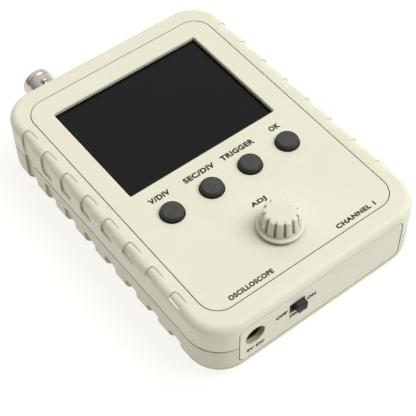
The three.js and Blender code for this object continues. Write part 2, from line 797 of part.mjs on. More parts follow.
function trimmerBody(x, y) {
  const z0 = ANALOG_BOARD.z1 + GAP;
  const z1 = z0 + TRIMMER.height;
  return cut(
    box(x - TRIMMER.half, x + TRIMMER.half, y - TRIMMER.half, y + TRIMMER.half, z0, z1),
    postZ(x, y, TRIMMER.rotorR + GAP, z1 - TRIMMER.rotorH, z1 + 1, 20),
  );
}

function trimmerRotor(x, y) {
  const z1 = ANALOG_BOARD.z1 + GAP + TRIMMER.height;
  return cut(
    postZ(x, y, TRIMMER.rotorR, z1 - TRIMMER.rotorH + GAP, z1 + 0.2, 20),
    box(x - 1.3, x + 1.3, y - 0.25, y + 0.25, z1 - 0.4, z1 + 1),
  );
}

function capacitor(x, y) {
  const z0 = CONTROL_BOARD.z1 + GAP;
  return turnedZ(x, y, [
    [0, z0],
    [3.1, z0],
    [3.1, z0 + 6.4],
    [2.8, z0 + 6.7],
    [0, z0 + 6.7],
  ], 20);
}

// ---------------------------------------------------------------- screws

// A pan-head screw. direction is +1 where its shank points up from the head.
function screw(x, y, seatZ, direction, dims, length) {
  const { headR, headH, shankR } = dims;
  const headOuter = seatZ - direction * headH;
  const tip = seatZ + direction * length;
  const head = postZ(x, y, headR, Math.min(seatZ, headOuter), Math.max(seatZ, headOuter), 14);
  const shank = postZ(
    x, y, shankR, Math.min(seatZ - direction * 0.3, tip), Math.max(seatZ - direction * 0.3, tip), 10,
  );
  const driveDepth = headOuter + direction * headH * 0.55;
  const half = headR * 0.62;
  const blade = 0.32;
  const z0 = Math.min(headOuter - direction, driveDepth);
  const z1 = Math.max(headOuter - direction, driveDepth);
  return cut(
    join(head, shank),
    box(x - half, x + half, y - blade, y + blade, z0, z1),
    box(x - blade, x + blade, y - half, y + half, z0, z1),
  );
}

// ---------------------------------------------------------------- the assembly

piece('front_shell', 'caseplastic', frontShell());
piece('rear_shell', 'caseplastic', rearShell());
piece('front_panel', 'caseplastic', frontPanel());
piece('bottom_end_panel', 'caseplastic', bottomEndPanel());
piece('top_end_panel', 'caseplastic', topEndPanel());

piece('lcd_glass', 'glass', lcdGlass());
piece('lcd_backlight', 'whiteplastic', lcdBacklight());
piece('lcd_ribbon', 'ribbon', lcdRibbon());

piece('main_board', 'board', mainBoard());
piece('analog_board', 'board', analogBoard());
piece('control_board', 'board', controlBoard());

KEY_X.forEach((x, i) => {
  piece(`button_${KEY_NAMES[i]}`, 'black', keyCap(x));
  piece(`tact_switch_${KEY_NAMES[i]}`, 'chip', tactSwitch(x));
});

piece('encoder_body', 'steel', encoderBody());
piece('encoder_rotor', 'whiteplastic', encoderRotor());
piece('encoder_shaft', 'steel', encoderShaft());
piece('adjust_knob', 'caseplastic', knob());

piece('bnc_shell', 'nickel', bncShell());
piece('bnc_insulator', 'whiteplastic', bncInsulator());
piece('bnc_contact', 'brass', bncContact());
piece('bnc_base', 'chip', bncBase());

const POWER_WALL_Y = -END_Y + END.inset + END.thick + GAP;
const COUPLING_WALL_Y = -POWER_WALL_Y;
const POWER_SWITCH_MID_X = POWER_SWITCH.leverX - POWER_SWITCH.travel / 2;

piece('power_switch_body', 'chip', slideSwitchBody(
  POWER_SWITCH_MID_X, POWER_SWITCH.z, POWER_WALL_Y, -1, 4.6, 2.4, CONTROL_BOARD.z1 + GAP,
));
piece('power_switch_lever', 'black', slideSwitchLever(
  POWER_SWITCH.leverX, POWER_SWITCH.z, POWER_WALL_Y, -1, 1.6,
));
piece('coupling_switch_body', 'steel', slideSwitchBody(
  COUPLING.x, COUPLING.z, COUPLING_WALL_Y, 1, 5.6, 2.2, ANALOG_BOARD.z1 + GAP,
));
piece('coupling_switch_lever', 'black', slideSwitchLever(
  COUPLING.x, COUPLING.z, COUPLING_WALL_Y, 1, 1.25,
));

piece('dc_jack_body', 'chip', dcJackBody());
piece('dc_jack_pin', 'nickel', dcJackPin());
piece('test_signal_terminal', 'nickel', testTerminal());

piece('control_header_pins', 'chip', headerPins(-15, CONTROL_BOARD.z1, 13.8));
piece('control_header_socket', 'chip', headerSocket(-15, 10.6));
piece('analog_header_pins', 'chip', headerPins(-4, ANALOG_BOARD.z1, 13.8));
piece('analog_header_socket', 'chip', headerSocket(-4, 7.4));

piece('shield_can', 'nickel', shieldCan());
piece('processor_chip', 'chip', chip(0, 12, 5, MAIN_BOARD.z0 - GAP - 1.4, MAIN_BOARD.z0 - GAP));
piece('regulator_chip', 'chip', chip(14, -44, 2.6, CONTROL_BOARD.z1 + GAP, CONTROL_BOARD.z1 + GAP + 1.6));

[[-2, 24], [-2, 12]].forEach(([x, y], i) => {
  piece(`trimmer_body_${i + 1}`, 'whiteplastic', trimmerBody(x, y));
  piece(`trimmer_rotor_${i + 1}`, 'brass', trimmerRotor(x, y));
});
[[15, -30], [23.5, -30]].forEach(([x, y], i) => {
  piece(`capacitor_${i + 1}`, 'chip', capacitor(x, y));
});

const CORNERS = ['bottom_left', 'bottom_right', 'top_left', 'top_right'];
caseScrewSpots().forEach(([x, y], i) => {
  const seatZ = CASE_SCREW.seatZ - GAP;
  piece(`case_screw_${CORNERS[i]}`, 'steel', screw(x, y, seatZ, 1, CASE_SCREW, CASE_SCREW.length));
});
MAIN_SCREWS.forEach(([x, y], i) => {
  piece(`main_board_screw_${i + 1}`, 'steel', screw(x, y, MAIN_BOARD.z0 - GAP, 1, BOARD_SCREW, 4.2));
});
ANALOG_SCREWS.forEach(([x, y], i) => {
  piece(`analog_board_screw_${i + 1}`, 'steel', screw(x, y, ANALOG_BOARD.z1 + GAP, -1, BOARD_SCREW, 3.2));
});
CONTROL_SCREWS.forEach(([x, y], i) => {
  piece(`control_board_screw_${i + 1}`, 'steel', screw(x, y, CONTROL_BOARD.z1 + GAP, -1, BOARD_SCREW, 5));
});

export default oscilloscope;
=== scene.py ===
"""Pocket oscilloscope: its surfaces, materials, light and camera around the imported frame.

Lengths are in millimetres until a mesh is made, where they become metres.
"""

from math import atan2, copysign, cos, exp, hypot, pi, radians, sin

import bmesh
import bpy
from mathutils import Euler, Matrix, Vector


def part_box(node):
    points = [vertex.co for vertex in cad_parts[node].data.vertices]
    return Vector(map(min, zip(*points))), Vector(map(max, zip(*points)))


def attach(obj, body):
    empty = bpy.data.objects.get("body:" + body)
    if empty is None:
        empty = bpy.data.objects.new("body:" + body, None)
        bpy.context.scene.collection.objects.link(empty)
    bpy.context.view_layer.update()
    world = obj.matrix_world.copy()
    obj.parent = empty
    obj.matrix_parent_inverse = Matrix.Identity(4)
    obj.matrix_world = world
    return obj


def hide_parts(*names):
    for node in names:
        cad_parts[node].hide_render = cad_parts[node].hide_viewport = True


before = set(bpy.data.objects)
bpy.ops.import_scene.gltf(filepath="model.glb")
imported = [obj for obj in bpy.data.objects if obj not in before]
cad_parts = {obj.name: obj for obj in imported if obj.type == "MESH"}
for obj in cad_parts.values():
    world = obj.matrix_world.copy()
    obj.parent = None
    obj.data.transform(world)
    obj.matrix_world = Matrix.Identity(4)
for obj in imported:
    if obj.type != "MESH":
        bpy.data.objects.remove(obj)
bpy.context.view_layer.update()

MM = 0.001
TAU = 2 * pi


# ---- sizes from the frame


def mm_box(node):
    low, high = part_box(node)
    return low / MM, high / MM


def middle(node):
    low, high = mm_box(node)
    return (low + high) / 2


REAR_HIGH = mm_box("rear_shell")[1]
FRONT_LOW, FRONT_HIGH = mm_box("front_shell")
PANEL_LOW, PANEL_HIGH = mm_box("front_panel")
END_LOW, END_HIGH = mm_box("bottom_end_panel")
GLASS_LOW, GLASS_HIGH = mm_box("lcd_glass")

HALF_W = REAR_HIGH.x
HALF_L = REAR_HIGH.y
TOP_Z = FRONT_HIGH.z
REAR_TOP = REAR_HIGH.z
FRONT_BOTTOM = FRONT_LOW.z
SEAM_Z = (REAR_TOP + FRONT_BOTTOM) / 2
GAP = FRONT_BOTTOM - REAR_TOP

CORNER_R = 10.5  # plan corners of the case
STRAIGHT = HALF_L - CORNER_R  # half the length of a straight side
WALL = 2.0
FRONT_FILLET = 2.4
BACK_FILLET = 4.4
SEAM_EDGE = 0.28  # rounding of moulded edges at the joints
FACE_R = 6.0  # corners of the face panel
LEDGE_W = 1.6  # the shelf that the face panel rests on
LEDGE_T = 1.1

GRIP_COUNT = 8
GRIP_FIRST_Y = 38.1  # steep end of the recess nearest the signal input
GRIP_PITCH = 10.05
GRIP_LENGTH = 5.3
GRIP_DEPTH = 0.85
GRIP_WALL = 0.14  # width of the steep end
GRIP_LEDGE = 0.4  # width of the slope at a recess's upper and lower ends
GRIP_ARCH = 1.2  # corner radius of a recess's far upper or lower end
GRIP_ON_FACE = 0.8  # how far a recess runs past the fillet onto the flat

FLANGE_LIP = 0.9  # how far an end panel's flanges reach behind the case
END_HALF_W = END_HIGH.x - FLANGE_LIP
END_T = 1.6  # thickness of an end panel, and length of its flanges
END_HOLE_EDGE = 0.15  # rounding of the openings in the end panels
POWER_HOLE_R = 3.15
BARREL_HOLE_R = 5.25
LOOP_WIRE_R = 0.45  # the test signal's wire loop

CASE_SCREW_BOSS_R = 3.0  # in the front shell
CASE_SCREW_TUBE_R = 3.4  # in the rear shell
CASE_SCREW_BORE_R = 1.6
CASE_PILOT_TOP = 18.5
HEAD_HOLE_R = 2.7  # the counterbores in the back
BOARD_BOSS_R = 1.75
BOARD_SEAT_R = 2.15
BOARD_SCREW_BORE_R = 1.25
BOARD_PILOT_TOP = 19.3

RING_STEP = 0.18  # height between the rings of the shells' upright sides


# ---- node materials

PAINTED_SHADE_LAYER = "painted_shade"  # a mesh layer of painted shade: 1 where the colour is darkened most, and 0 where it is left as it is


def set_inputs(node, values):
    for socket, value in values.items():
        node.inputs[socket].default_value = value


class Nodes:
    """A material's node tree, with short calls to add and link nodes."""

    def __init__(self, name):
        self.material = bpy.data.materials.new(name)
        self.material.use_nodes = True
        self.tree = self.material.node_tree
        self.tree.nodes.clear()
        out = self.add("ShaderNodeOutputMaterial")
        self.shader = self.add("ShaderNodeBsdfPrincipled")
        self.link(self.shader.outputs["BSDF"], out.inputs["Surface"])
        self.coords = self.add("ShaderNodeTexCoord").outputs["Object"]

    def add(self, kind, **values):
        node = self.tree.nodes.new(kind)
        for key, value in values.items():
            setattr(node, key, value)
        return node

    def link(self, source, target):
        self.tree.links.new(source, target)

    def set(self, **values):
        set_inputs(self.shader, {key.replace("_", " "): value for key, value in values.items()})

    def noise(self, size_mm, detail=3.0, stretch=(1, 1, 1), distortion=0.0):
        """Noise whose blobs are about size_mm across, from 0 to 1."""
        mapping = self.add("ShaderNodeMapping")
        mapping.inputs["Scale"].default_value = stretch
        self.link(self.coords, mapping.inputs["Vector"])
        noise = self.add("ShaderNodeTexNoise")
        set_inputs(noise, {"Scale": 1 / (size_mm * MM), "Detail": detail, "Distortion": distortion})
        self.link(mapping.outputs["Vector"], noise.inputs["Vector"])
        return noise.outputs["Fac"]

    def spread(self, source, low, high, to_low, to_high):
        """Maps source from low..high to to_low..to_high, clamped."""
        node = self.add("ShaderNodeMapRange")
        set_inputs(node, {"From Min": low, "From Max": high, "To Min": to_low, "To Max": to_high})
        self.link(source, node.inputs["Value"])
        return node.outputs["Result"]

    def math(self, operation, a, b):
        node = self.add("ShaderNodeMath", operation=operation)
        for socket, value in zip(node.inputs, (a, b)):
            if isinstance(value, (int, float)):
                socket.default_value = value
            else:
                self.link(value, socket)
        return node.outputs["Value"]

    def mix(self, factor, a, b, blend="MIX"):
        """Mixes two colours; each is a socket or an RGB triple."""
        node = self.add("ShaderNodeMix", data_type="RGBA", blend_type=blend)
        self.link(factor, node.inputs[0])
        for socket, value in ((node.inputs[6], a), (node.inputs[7], b)):
            if isinstance(value, tuple):
                socket.default_value = (*value, 1)
            else:
                self.link(value, socket)
        return node.outputs[2]

    def crevice(self, reach_mm):
        """How open the surface is: 1 in the open and less in grooves and corners."""
        node = self.add("ShaderNodeAmbientOcclusion", samples=8)
        node.inputs["Distance"].default_value = reach_mm * MM
        return node.outputs["AO"]

    def edge(self, amount):
        """The given amount along outer edges, from the mesh's curvature, and 0 elsewhere."""
        geometry = self.add("ShaderNodeNewGeometry")
        outer = self.spread(geometry.outputs["Pointiness"], 0.51, 0.56, 0, 1)
        return self.math("MULTIPLY", outer, amount)

    def colour(self, source):
        self.link(source, self.shader.inputs["Base Color"])

    def roughness(self, source):
        self.link(source, self.shader.inputs["Roughness"])

    def bump(self, *heights):
        """Chains bumps given as (height socket, depth in mm)."""
        normal = None
        for height, depth in heights:
            node = self.add("ShaderNodeBump")
            set_inputs(node, {"Strength": 1.0, "Distance": depth * MM})
            self.link(height, node.inputs["Height"])
            if normal is not None:
                self.link(normal, node.inputs["Normal"])
            normal = node.outputs["Normal"]
        self.link(normal, self.shader.inputs["Normal"])

    def with_painted_shade(self, base, shade):
        """The base colour turned to shade where the mesh's layer of painted shade says so."""
        shade_amount = self.add("ShaderNodeAttribute", attribute_name=PAINTED_SHADE_LAYER)
        return self.mix(shade_amount.outputs["Fac"], base, shade)


def times(colour, factor):
    """A colour made lighter or darker, no channel above 1. factor is a number or one per channel."""
    factors = factor if isinstance(factor, tuple) else (factor,) * 3
    return tuple(min(1, c * k) for c, k in zip(colour, factors))


def moulded_plastic(
    name, colour, painted_shade, rough=(0.42, 0.54), grain=0.34, grain_depth=0.006, shade=None,
):
    """Spark-eroded moulded plastic: fine grain, faint mottling, painted shade in crevices, rubbed edges.
    """
    n = Nodes(name)
    blotch = n.spread(n.noise(9, 4), 0.35, 0.65, 0, 1)
    mottled = n.mix(blotch, colour, times(colour, (0.975, 0.972, 0.955)))
    speck = n.spread(n.noise(0.9, 2), 0.68, 0.74, 0, 0.35)
    specked = n.mix(speck, mottled, times(colour, 0.93))
    # Crevices are darkened by how enclosed they are: painted shade.
    crevice_shaded = n.mix(n.spread(n.crevice(0.8), 0.1, 0.5, 0.5, 0), specked, painted_shade)
    # Painted shade from the mesh's layer, where a shade colour is given.
    if shade is not None:
        crevice_shaded = n.with_painted_shade(crevice_shaded, shade)
    n.colour(n.mix(n.edge(0.3), crevice_shaded, times(colour, 1.08)))
    wear = n.spread(n.noise(4.5, 3), 0.3, 0.7, *rough)
    n.roughness(n.math("SUBTRACT", wear, n.edge(0.06)))
    n.set(IOR=1.5, Specular_IOR_Level=0.42)
    n.bump((n.noise(grain, 2), grain_depth), (n.noise(14, 2), 0.02))
    return n.material


def soft_black(name, colour, rough=(0.42, 0.6), sheen=0.0, shade=None):
    """Dull black plastic or rubber with finger shine and a little lint."""
    n = Nodes(name)
    patches = n.spread(n.noise(2.4, 4), 0.35, 0.68, 0, 1)
    base = n.mix(patches, colour, times(colour, 1.35))
    lint = n.spread(n.noise(0.35, 2, distortion=1.5), 0.7, 0.78, 0, 0.25)
    base = n.mix(lint, base, (0.25, 0.24, 0.23))
    # Painted shade from the mesh's layer, where a shade colour is given.
    if shade is not None:
        base = n.with_painted_shade(base, shade)
    n.colour(n.mix(n.edge(0.35), base, times(colour, 2.4)))
    n.roughness(n.spread(n.noise(1.6, 3), 0.3, 0.7, *rough))
    n.set(IOR=1.48, Specular_IOR_Level=0.4, Sheen_Weight=sheen, Sheen_Roughness=0.4)
    n.bump((n.noise(0.22, 2), 0.005), (n.noise(1.7, 2), 0.008))
    return n.material


def metal(name, colour, rough=(0.22, 0.36), grain=(1, 1, 1), dull=(0.3, 0.28, 0.26)):
    """Plated or rolled metal: fine directional grain, dull spots and bright rubbed edges."""
    n = Nodes(name)
    tarnish = n.spread(n.noise(3.2, 5, distortion=0.6), 0.5, 0.72, 0, 0.4)
    base = n.mix(tarnish, colour, tuple(c * k * 2 for c, k in zip(colour, dull)))
    # Corners are darkened by how enclosed they are: painted shade.
    corners = n.spread(n.crevice(1.0), 0.2, 0.8, 0.55, 0)
    base = n.mix(corners, base, dull)
    n.colour(n.mix(n.edge(0.4), base, times(colour, 1.2)))
    lines = n.noise(0.25, 3, stretch=grain)
    n.roughness(n.spread(lines, 0.3, 0.7, *rough))
    n.set(Metallic=1.0)
    n.bump((lines, 0.002), (n.noise(1.8, 2), 0.004))
    return n.material


def screen_glass(name):
    """An unlit display behind a hard-coated window, with a darker frame round its active area."""
    n = Nodes(name)
    split = n.add("ShaderNodeSeparateXYZ")
    n.link(n.coords, split.inputs["Vector"])
    inside = None
    for axis, (a, b) in (("X", ACTIVE_X), ("Y", ACTIVE_Y)):
        for edge_at, blur in ((a * MM, 0.15 * MM), (b * MM, -0.15 * MM)):
            step = n.spread(split.outputs[axis], edge_at - blur, edge_at + blur, 0, 1)
            inside = step if inside is None else n.math("MULTIPLY", inside, step)
    slope = n.spread(split.outputs["X"], GLASS_LOW.x * MM, GLASS_HIGH.x * MM, 0, 1)
    panel = n.mix(slope, (0.0072, 0.0072, 0.0074), (0.0070, 0.0082, 0.0080))
    cloud = n.spread(n.noise(11, 3), 0.3, 0.7, 0, 0.6)
    panel = n.mix(cloud, panel, (0.0082, 0.0084, 0.0086))
    n.colour(n.mix(inside, (0.0035, 0.0035, 0.0035), panel))
    smear = n.noise(6.5, 4, stretch=(1, 0.45, 1), distortion=0.8)
    n.roughness(n.spread(smear, 0.35, 0.7, 0.14, 0.24))
    n.set(IOR=1.45, Specular_IOR_Level=0.14)
    n.bump((n.noise(0.5, 2), 0.0006))
    return n.material


def ink(name):
    """Pad-printed ink: slightly uneven cover and a thin worn film."""
    n = Nodes(name)
    worn = n.spread(n.noise(0.3, 3), 0.62, 0.78, 0, 0.35)
    n.colour(n.mix(worn, (0.018, 0.016, 0.013), (0.16, 0.15, 0.13)))
    n.roughness(n.spread(n.noise(0.5, 2), 0.3, 0.7, 0.5, 0.68))
    n.bump((n.noise(0.12, 2), 0.003))
    return n.material


def circuit_board(name):
    """Green solder mask over copper tracks."""
    n = Nodes(name)
    brick = n.add("ShaderNodeTexBrick", offset=0.37, squash=1.0)
    set_inputs(brick, {
        "Scale": 1 / (5.2 * MM), "Mortar Size": 0.06, "Mortar Smooth": 0.3, "Brick Width": 0.9,
        "Row Height": 0.31,
    })
    n.link(n.coords, brick.inputs["Vector"])
    tracks = brick.outputs["Fac"]
    cloud = n.spread(n.noise(7, 4), 0.3, 0.7, 0, 1)
    mask = n.mix(cloud, (0.012, 0.085, 0.028), (0.018, 0.11, 0.04))
    n.colour(n.mix(tracks, mask, (0.03, 0.17, 0.06)))
    n.roughness(n.spread(n.noise(1.2, 3), 0.3, 0.7, 0.3, 0.46))
    n.set(Coat_Weight=0.25, Coat_Roughness=0.25)
    n.bump((tracks, 0.03), (n.noise(0.4, 2), 0.006))
    return n.material


def ribbon_film(name):
    """Amber polyimide film over parallel copper lines."""
    n = Nodes(name)
    wave = n.add("ShaderNodeTexWave", wave_type="BANDS", bands_direction="X")
    wave.inputs["Scale"].default_value = 1 / (1.9 * MM)
    n.link(n.coords, wave.inputs["Vector"])
    lines = n.spread(wave.outputs["Fac"], 0.4, 0.6, 0, 1)
    n.colour(n.mix(lines, (0.32, 0.12, 0.02), (0.55, 0.24, 0.06)))
    n.roughness(n.spread(n.noise(1.5, 3), 0.3, 0.7, 0.25, 0.4))
    n.bump((lines, 0.01))
    return n.material


CREAM = (0.765, 0.77, 0.642)
# The colour the cream plastics' crevices are darkened to: painted shade.
CREAM_CREVICE_SHADE = (0.22, 0.185, 0.115)

ACTIVE_X = (PANEL_LOW.x + 7.0, PANEL_HIGH.x - 7.6)  # limits of the display's active area
ACTIVE_Y = (0.9, 37.8)

# A moulded plastic's second colour is the painted shade in its crevices, and shade is the colour of its
# layer of painted shade.
MATERIALS = {
    "case": moulded_plastic("case_plastic", CREAM, CREAM_CREVICE_SHADE, shade=(0.36, 0.33, 0.24)),
    "face": moulded_plastic("face_plastic", CREAM, (0.56, 0.54, 0.44), shade=(0.3, 0.27, 0.18)),
    "knob": moulded_plastic(
        "knob_plastic", (0.775, 0.775, 0.645), CREAM_CREVICE_SHADE, rough=(0.34, 0.46), grain=0.25,
        grain_depth=0.003, shade=(0.25, 0.225, 0.13),
    ),
    "button": soft_black(
        "button_rubber", (0.047, 0.045, 0.047), rough=(0.5, 0.68), sheen=0.12,
        shade=(0.018, 0.017, 0.018),
    ),
    "black": soft_black("black_plastic", (0.018, 0.017, 0.018), rough=(0.34, 0.5)),
    "chip": soft_black("chip_resin", (0.02, 0.02, 0.021), rough=(0.45, 0.62)),
    "screen": screen_glass("screen_glass"),
    "white": moulded_plastic(
        "white_plastic", (0.76, 0.75, 0.7), (0.3, 0.28, 0.24), rough=(0.34, 0.5), grain=0.3,
    ),
    "nickel": metal("nickel_plate", (0.6, 0.575, 0.53), rough=(0.16, 0.3), grain=(1, 8, 1)),
    "steel": metal("zinc_steel", (0.5, 0.5, 0.5), rough=(0.3, 0.46), grain=(1, 1, 5)),
    "brass": metal("brass", (0.66, 0.45, 0.16), rough=(0.22, 0.36), dull=(0.34, 0.26, 0.14)),
    "board": circuit_board("solder_mask"),
    "ribbon": ribbon_film("ribbon_film"),
    "ink": ink("label_ink"),
}


# ---- solids in mesh code


def new_mesh(points, faces):
    """A bmesh in metres from points in millimetres, with its faces turned outwards."""
    bm = bmesh.new()
    verts = [bm.verts.new([c * MM for c in p]) for p in points]
    for face in faces:
        bm.faces.new([verts[i] for i in face])
    bmesh.ops.recalc_face_normals(bm, faces=bm.faces)
    return bm


def mesh_of(bm, name="scratch"):
    """A mesh made of a bmesh, which is used up."""
    mesh = bpy.data.meshes.new(name)
    bm.to_mesh(mesh)
    bm.free()
    return mesh


def placed(name, data):
    """A new object in the scene."""
    obj = bpy.data.objects.new(name, data)
    bpy.context.scene.collection.objects.link(obj)
    return obj


def joined(*meshes):
    """One bmesh that holds the separate bodies of several."""
    whole = bmesh.new()
    for bm in meshes:
        scratch = mesh_of(bm)
        whole.from_mesh(scratch)
        bpy.data.meshes.remove(scratch)
    return whole


def combine(target, tool, operation):
    """The boolean of two closed bmeshes, which are both used up."""
    objects = [placed("scratch", mesh_of(bm)) for bm in (target, tool)]
    modifier = objects[0].modifiers.new("boolean", "BOOLEAN")
    modifier.operation = operation
    modifier.solver = "MANIFOLD"
    modifier.object = objects[1]
    bpy.context.view_layer.update()
    evaluated = objects[0].evaluated_get(bpy.context.evaluated_depsgraph_get())
    result = bmesh.new()
    result.from_mesh(evaluated.to_mesh())
    evaluated.to_mesh_clear()
    for obj in objects:
        bpy.data.meshes.remove(obj.data)
    return result


def cut(target, *tools):
    return combine(target, joined(*tools), "DIFFERENCE")


def add(target, *tools):
    return combine(target, joined(*tools), "UNION")


def bridge(rings, caps=True):
    """Joins rings of points with quads, and caps both ends or else joins the last to the first."""
    count = len(rings[0])
    points = [p for ring in rings for p in ring]
    faces = []
    for r in range(len(rings) - 1 if caps else len(rings)):
        a = r * count
        b = ((r + 1) % len(rings)) * count
        for i in range(count):
            j = (i + 1) % count
            faces.append((a + i, a + j, b + j, b + i))
    if caps:
        faces.append(tuple(reversed(range(count))))
        last = (len(rings) - 1) * count
        faces.append(tuple(range(last, last + count)))
    return new_mesh(points, faces)


def arc(steps, start, end):
    """Angles in radians from start to end degrees, both ends included."""
    return [radians(start + (end - start) * i / steps) for i in range(steps + 1)]


def bend(r, z, dr, dz, angles):
    """Points of a quarter bend from (r, z), upright at first, that ends dr and dz away."""
    return [(r + dr * (1 - cos(a)), z + dz * sin(a)) for a in angles]


def dome(start, top, steps):
    """Points from the start (r, z) over a dome to its top on the axis."""
    r, z = start
    return [(r * cos(a), z + (top - z) * sin(a)) for a in arc(steps, 0, 90)[1:]]


def round_rect(left, right, low, high, radius, steps=8):
    """The outline of a rounded rectangle: a function of how far it is grown."""
    def points(grow):
        r = max(radius + grow, 0.01)
        x0, x1 = left - grow + r, right + grow - r
        z0, z1 = low - grow + r, high + grow - r
        centres = ((x1, z1, 0), (x0, z1, 90), (x0, z0, 180), (x1, z0, 270))
        return [
            (cx + r * cos(a), cz + r * sin(a))
            for cx, cz, start in centres
            for a in arc(steps, start, start + 90)
        ]
    return points


def circle(x, z, radius, steps=48):
    """The outline of a circle: a function of how far it is grown."""
    def points(grow):
        r = radius + grow
        turns = [TAU * i / steps for i in range(steps)]
        return [(x + r * cos(a), z + r * sin(a)) for a in turns]
    return points


def prism_z(outline, profile):
    """A body along Z: outline(grow) at each (grow, z) of the profile."""
    return bridge([[(x, y, z) for x, y in outline(grow)] for grow, z in profile])


def prism_y(outline, profile):
    """A body along Y: outline(grow) gives x and z at each (grow, y) of the profile."""
    return bridge([[(x, y, z) for x, z in outline(grow)] for grow, y in profile])


def plate_profile(low, high, radius):
    """Profile of a plate from low to high with both outer edges rounded."""
    bottom = [(-radius * (1 - sin(a)), low + radius * (1 - cos(a))) for a in arc(4, 0, 90)]
    top = [(-radius * (1 - cos(a)), high - radius * (1 - sin(a))) for a in arc(4, 0, 90)]
    return bottom + top


def hole_profile(inside, surface, radius):
    """Profile of a cutter that rounds the hole's edge at the surface, and runs 2 mm past it."""
    out = 1 if surface > inside else -1
    flare = [
        (radius * (1 - cos(a)), surface - out * radius * (1 - sin(a)))
        for a in arc(4, 0, 90)
    ]
    return [(0, inside)] + flare + [(radius, surface + out * 2.0)]


def lathe(x, y, profile, steps=96, radius_at=None):
    """Turns a closed (radius, z) profile that starts and ends on the axis about Z."""
    rings = []
    for r, z in profile[1:-1]:
        turns = [TAU * i / steps for i in range(steps)]
        reach = [r if radius_at is None else radius_at(r, z, a) for a in turns]
        rings.append([(x + d * cos(a), y + d * sin(a), z) for d, a in zip(reach, turns)])
    count = len(rings) * steps
    points = [p for ring in rings for p in ring]
    points += [(x, y, profile[0][1]), (x, y, profile[-1][1])]
    faces = []
    for r in range(len(rings) - 1):
        for i in range(steps):
            j = (i + 1) % steps
            faces.append((r * steps + i, r * steps + j, (r + 1) * steps + j, (r + 1) * steps + i))
    top = (len(rings) - 1) * steps
    for i in range(steps):
        j = (i + 1) % steps
        faces.append((count, j, i))
        faces.append((count + 1, top + i, top + j))
    return new_mesh(points, faces)


def tube_lathe(profile, steps=96):
    """Turns a (radius, height) loop that doesn't touch the axis about Z through the origin."""
    return bridge([[(x, y, z) for x, y in circle(0, 0, r, steps)(0)] for r, z in profile], caps=False)


def along_y(bm, x, z):
    """Turns a body made about Z so that its heights run along +Y, through (x, z)."""
    bm.transform(Matrix.Translation((x * MM, 0, z * MM)) @ Matrix.Rotation(-pi / 2, 4, "X"))
    return bm


def rounded_box(corner, opposite, radius):
    """A box between two opposite corners, with its edges bevelled round."""
    bm = bmesh.new()
    sides = [sorted(pair) for pair in zip(corner, opposite)]
    size = Matrix.Diagonal((*((high - low) * MM for low, high in sides), 1))
    centre = Matrix.Translation([(low + high) / 2 * MM for low, high in sides])
    bmesh.ops.create_cube(bm, size=1, matrix=centre @ size)
    bmesh.ops.bevel(
        bm, geom=bm.edges[:], offset=radius * MM, segments=3, profile=0.5, affect="EDGES",
        clamp_overlap=True,
    )
    return bm


def paint_shade_layer(mesh, painted_shade_at):
    """Fills the layer of painted shade from a function of a face's centre and normal, which gives 0 where
    no shade is painted.
    """
    layer = mesh.attributes.new(PAINTED_SHADE_LAYER, "FLOAT", "POINT")
    for polygon in mesh.polygons:
        shade_amount = painted_shade_at(polygon.center / MM, polygon.normal)
        if shade_amount > 0:
            for index in polygon.vertices:
                layer.data[index].value = max(layer.data[index].value, shade_amount)


def shell_painted_shade(centre, normal):
    """Painted shade in the steep ends of the side recesses, which face -Y, on the lips of the seam and
    under the case's edge, and the rear shell is painted a little darker all over."""
    under = 0.2 if centre.z < SEAM_Z else 0.0
    if centre.z < BACK_FILLET + 1:
        on_curve = smooth_step((0.2 - normal.z) / 0.6) * smooth_step((normal.z + 0.98) / 0.3)
        under = max(under, 0.85 * on_curve)
    on_lip = abs(centre.z - SEAM_Z) < SEAM_EDGE + GAP and 0.3 < abs(normal.z) < 0.95
    steep = 0.0
    if abs(centre.x) > HALF_W - 4 and abs(centre.y) < STRAIGHT:
        # The painted shade is stronger on the -X side, away from the key light.
        steep = (0.85 if centre.x < 0 else 0.25) * smooth_step((-normal.y - 0.45) / 0.4)
        if centre.z > SEAM_Z:
            steep *= smooth_step((centre.z - SEAM_Z - 2) / 3.5)
    return max(steep, under, 0.6 * on_lip)


def end_rim_painted_shadow(centre, normal):
    """Painted shadow on the chamfer round an end panel."""
    return 0.7 if 0.3 < abs(normal.y) < 0.95 and abs(centre.y) > HALF_L - 0.6 else 0.0


def piece(name, bm, node, material, body="root", sharp=32, painted_shade_at=None):
    """Makes an object of a bmesh, smooth except across edges sharper than sharp degrees. It takes
    the node's place, or nothing's if node is None."""
    bmesh.ops.remove_doubles(bm, verts=bm.verts, dist=1e-6)
    limit = radians(sharp)
    for face in bm.faces:
        face.smooth = True
    for edge in bm.edges:
        edge.smooth = len(edge.link_faces) == 2 and edge.calc_face_angle(0) < limit
    mesh = mesh_of(bm, name)
    obj = placed(name, mesh)
    mesh.materials.append(MATERIALS[material])
    if painted_shade_at is not None:
        paint_shade_layer(mesh, painted_shade_at)
    weighted = obj.modifiers.new("weighted normals", "WEIGHTED_NORMAL")
    weighted.keep_sharp = True
    weighted.weight = 50
    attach(obj, body)
    if node is not None:
        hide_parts(node)


# ---- the case's outline and grips


def grip_columns():
    """Places along a long side where the shell's mesh has a column, dense at each steep end."""
    wall = [0.6, 0.3, 0.1, 0.02, -0.02, -0.06, -0.1, -0.14, -0.18]
    wall += [-0.26, -0.38, -0.54, -0.74, -0.96, -1.2]
    floor_steps = [-1.5 - 0.35 * i for i in range(8)]
    rise = [-4.2 - 0.14 * i for i in range(9)]
    rib = [-6.1, -7.1, -8.3]
    offsets = wall + floor_steps + rise + rib
    columns = [GRIP_FIRST_Y - GRIP_PITCH * k + offset for k in range(GRIP_COUNT) for offset in offsets]
    columns += [STRAIGHT, STRAIGHT - 1.2, STRAIGHT - 2.2]
    return sorted(y for y in columns if -STRAIGHT + 0.3 < y <= STRAIGHT)


SIDE = [-1.0] + [y / STRAIGHT for y in grip_columns()]  # columns as parts of a straight side
CORNER_STEPS = 18
END_STEPS = 20


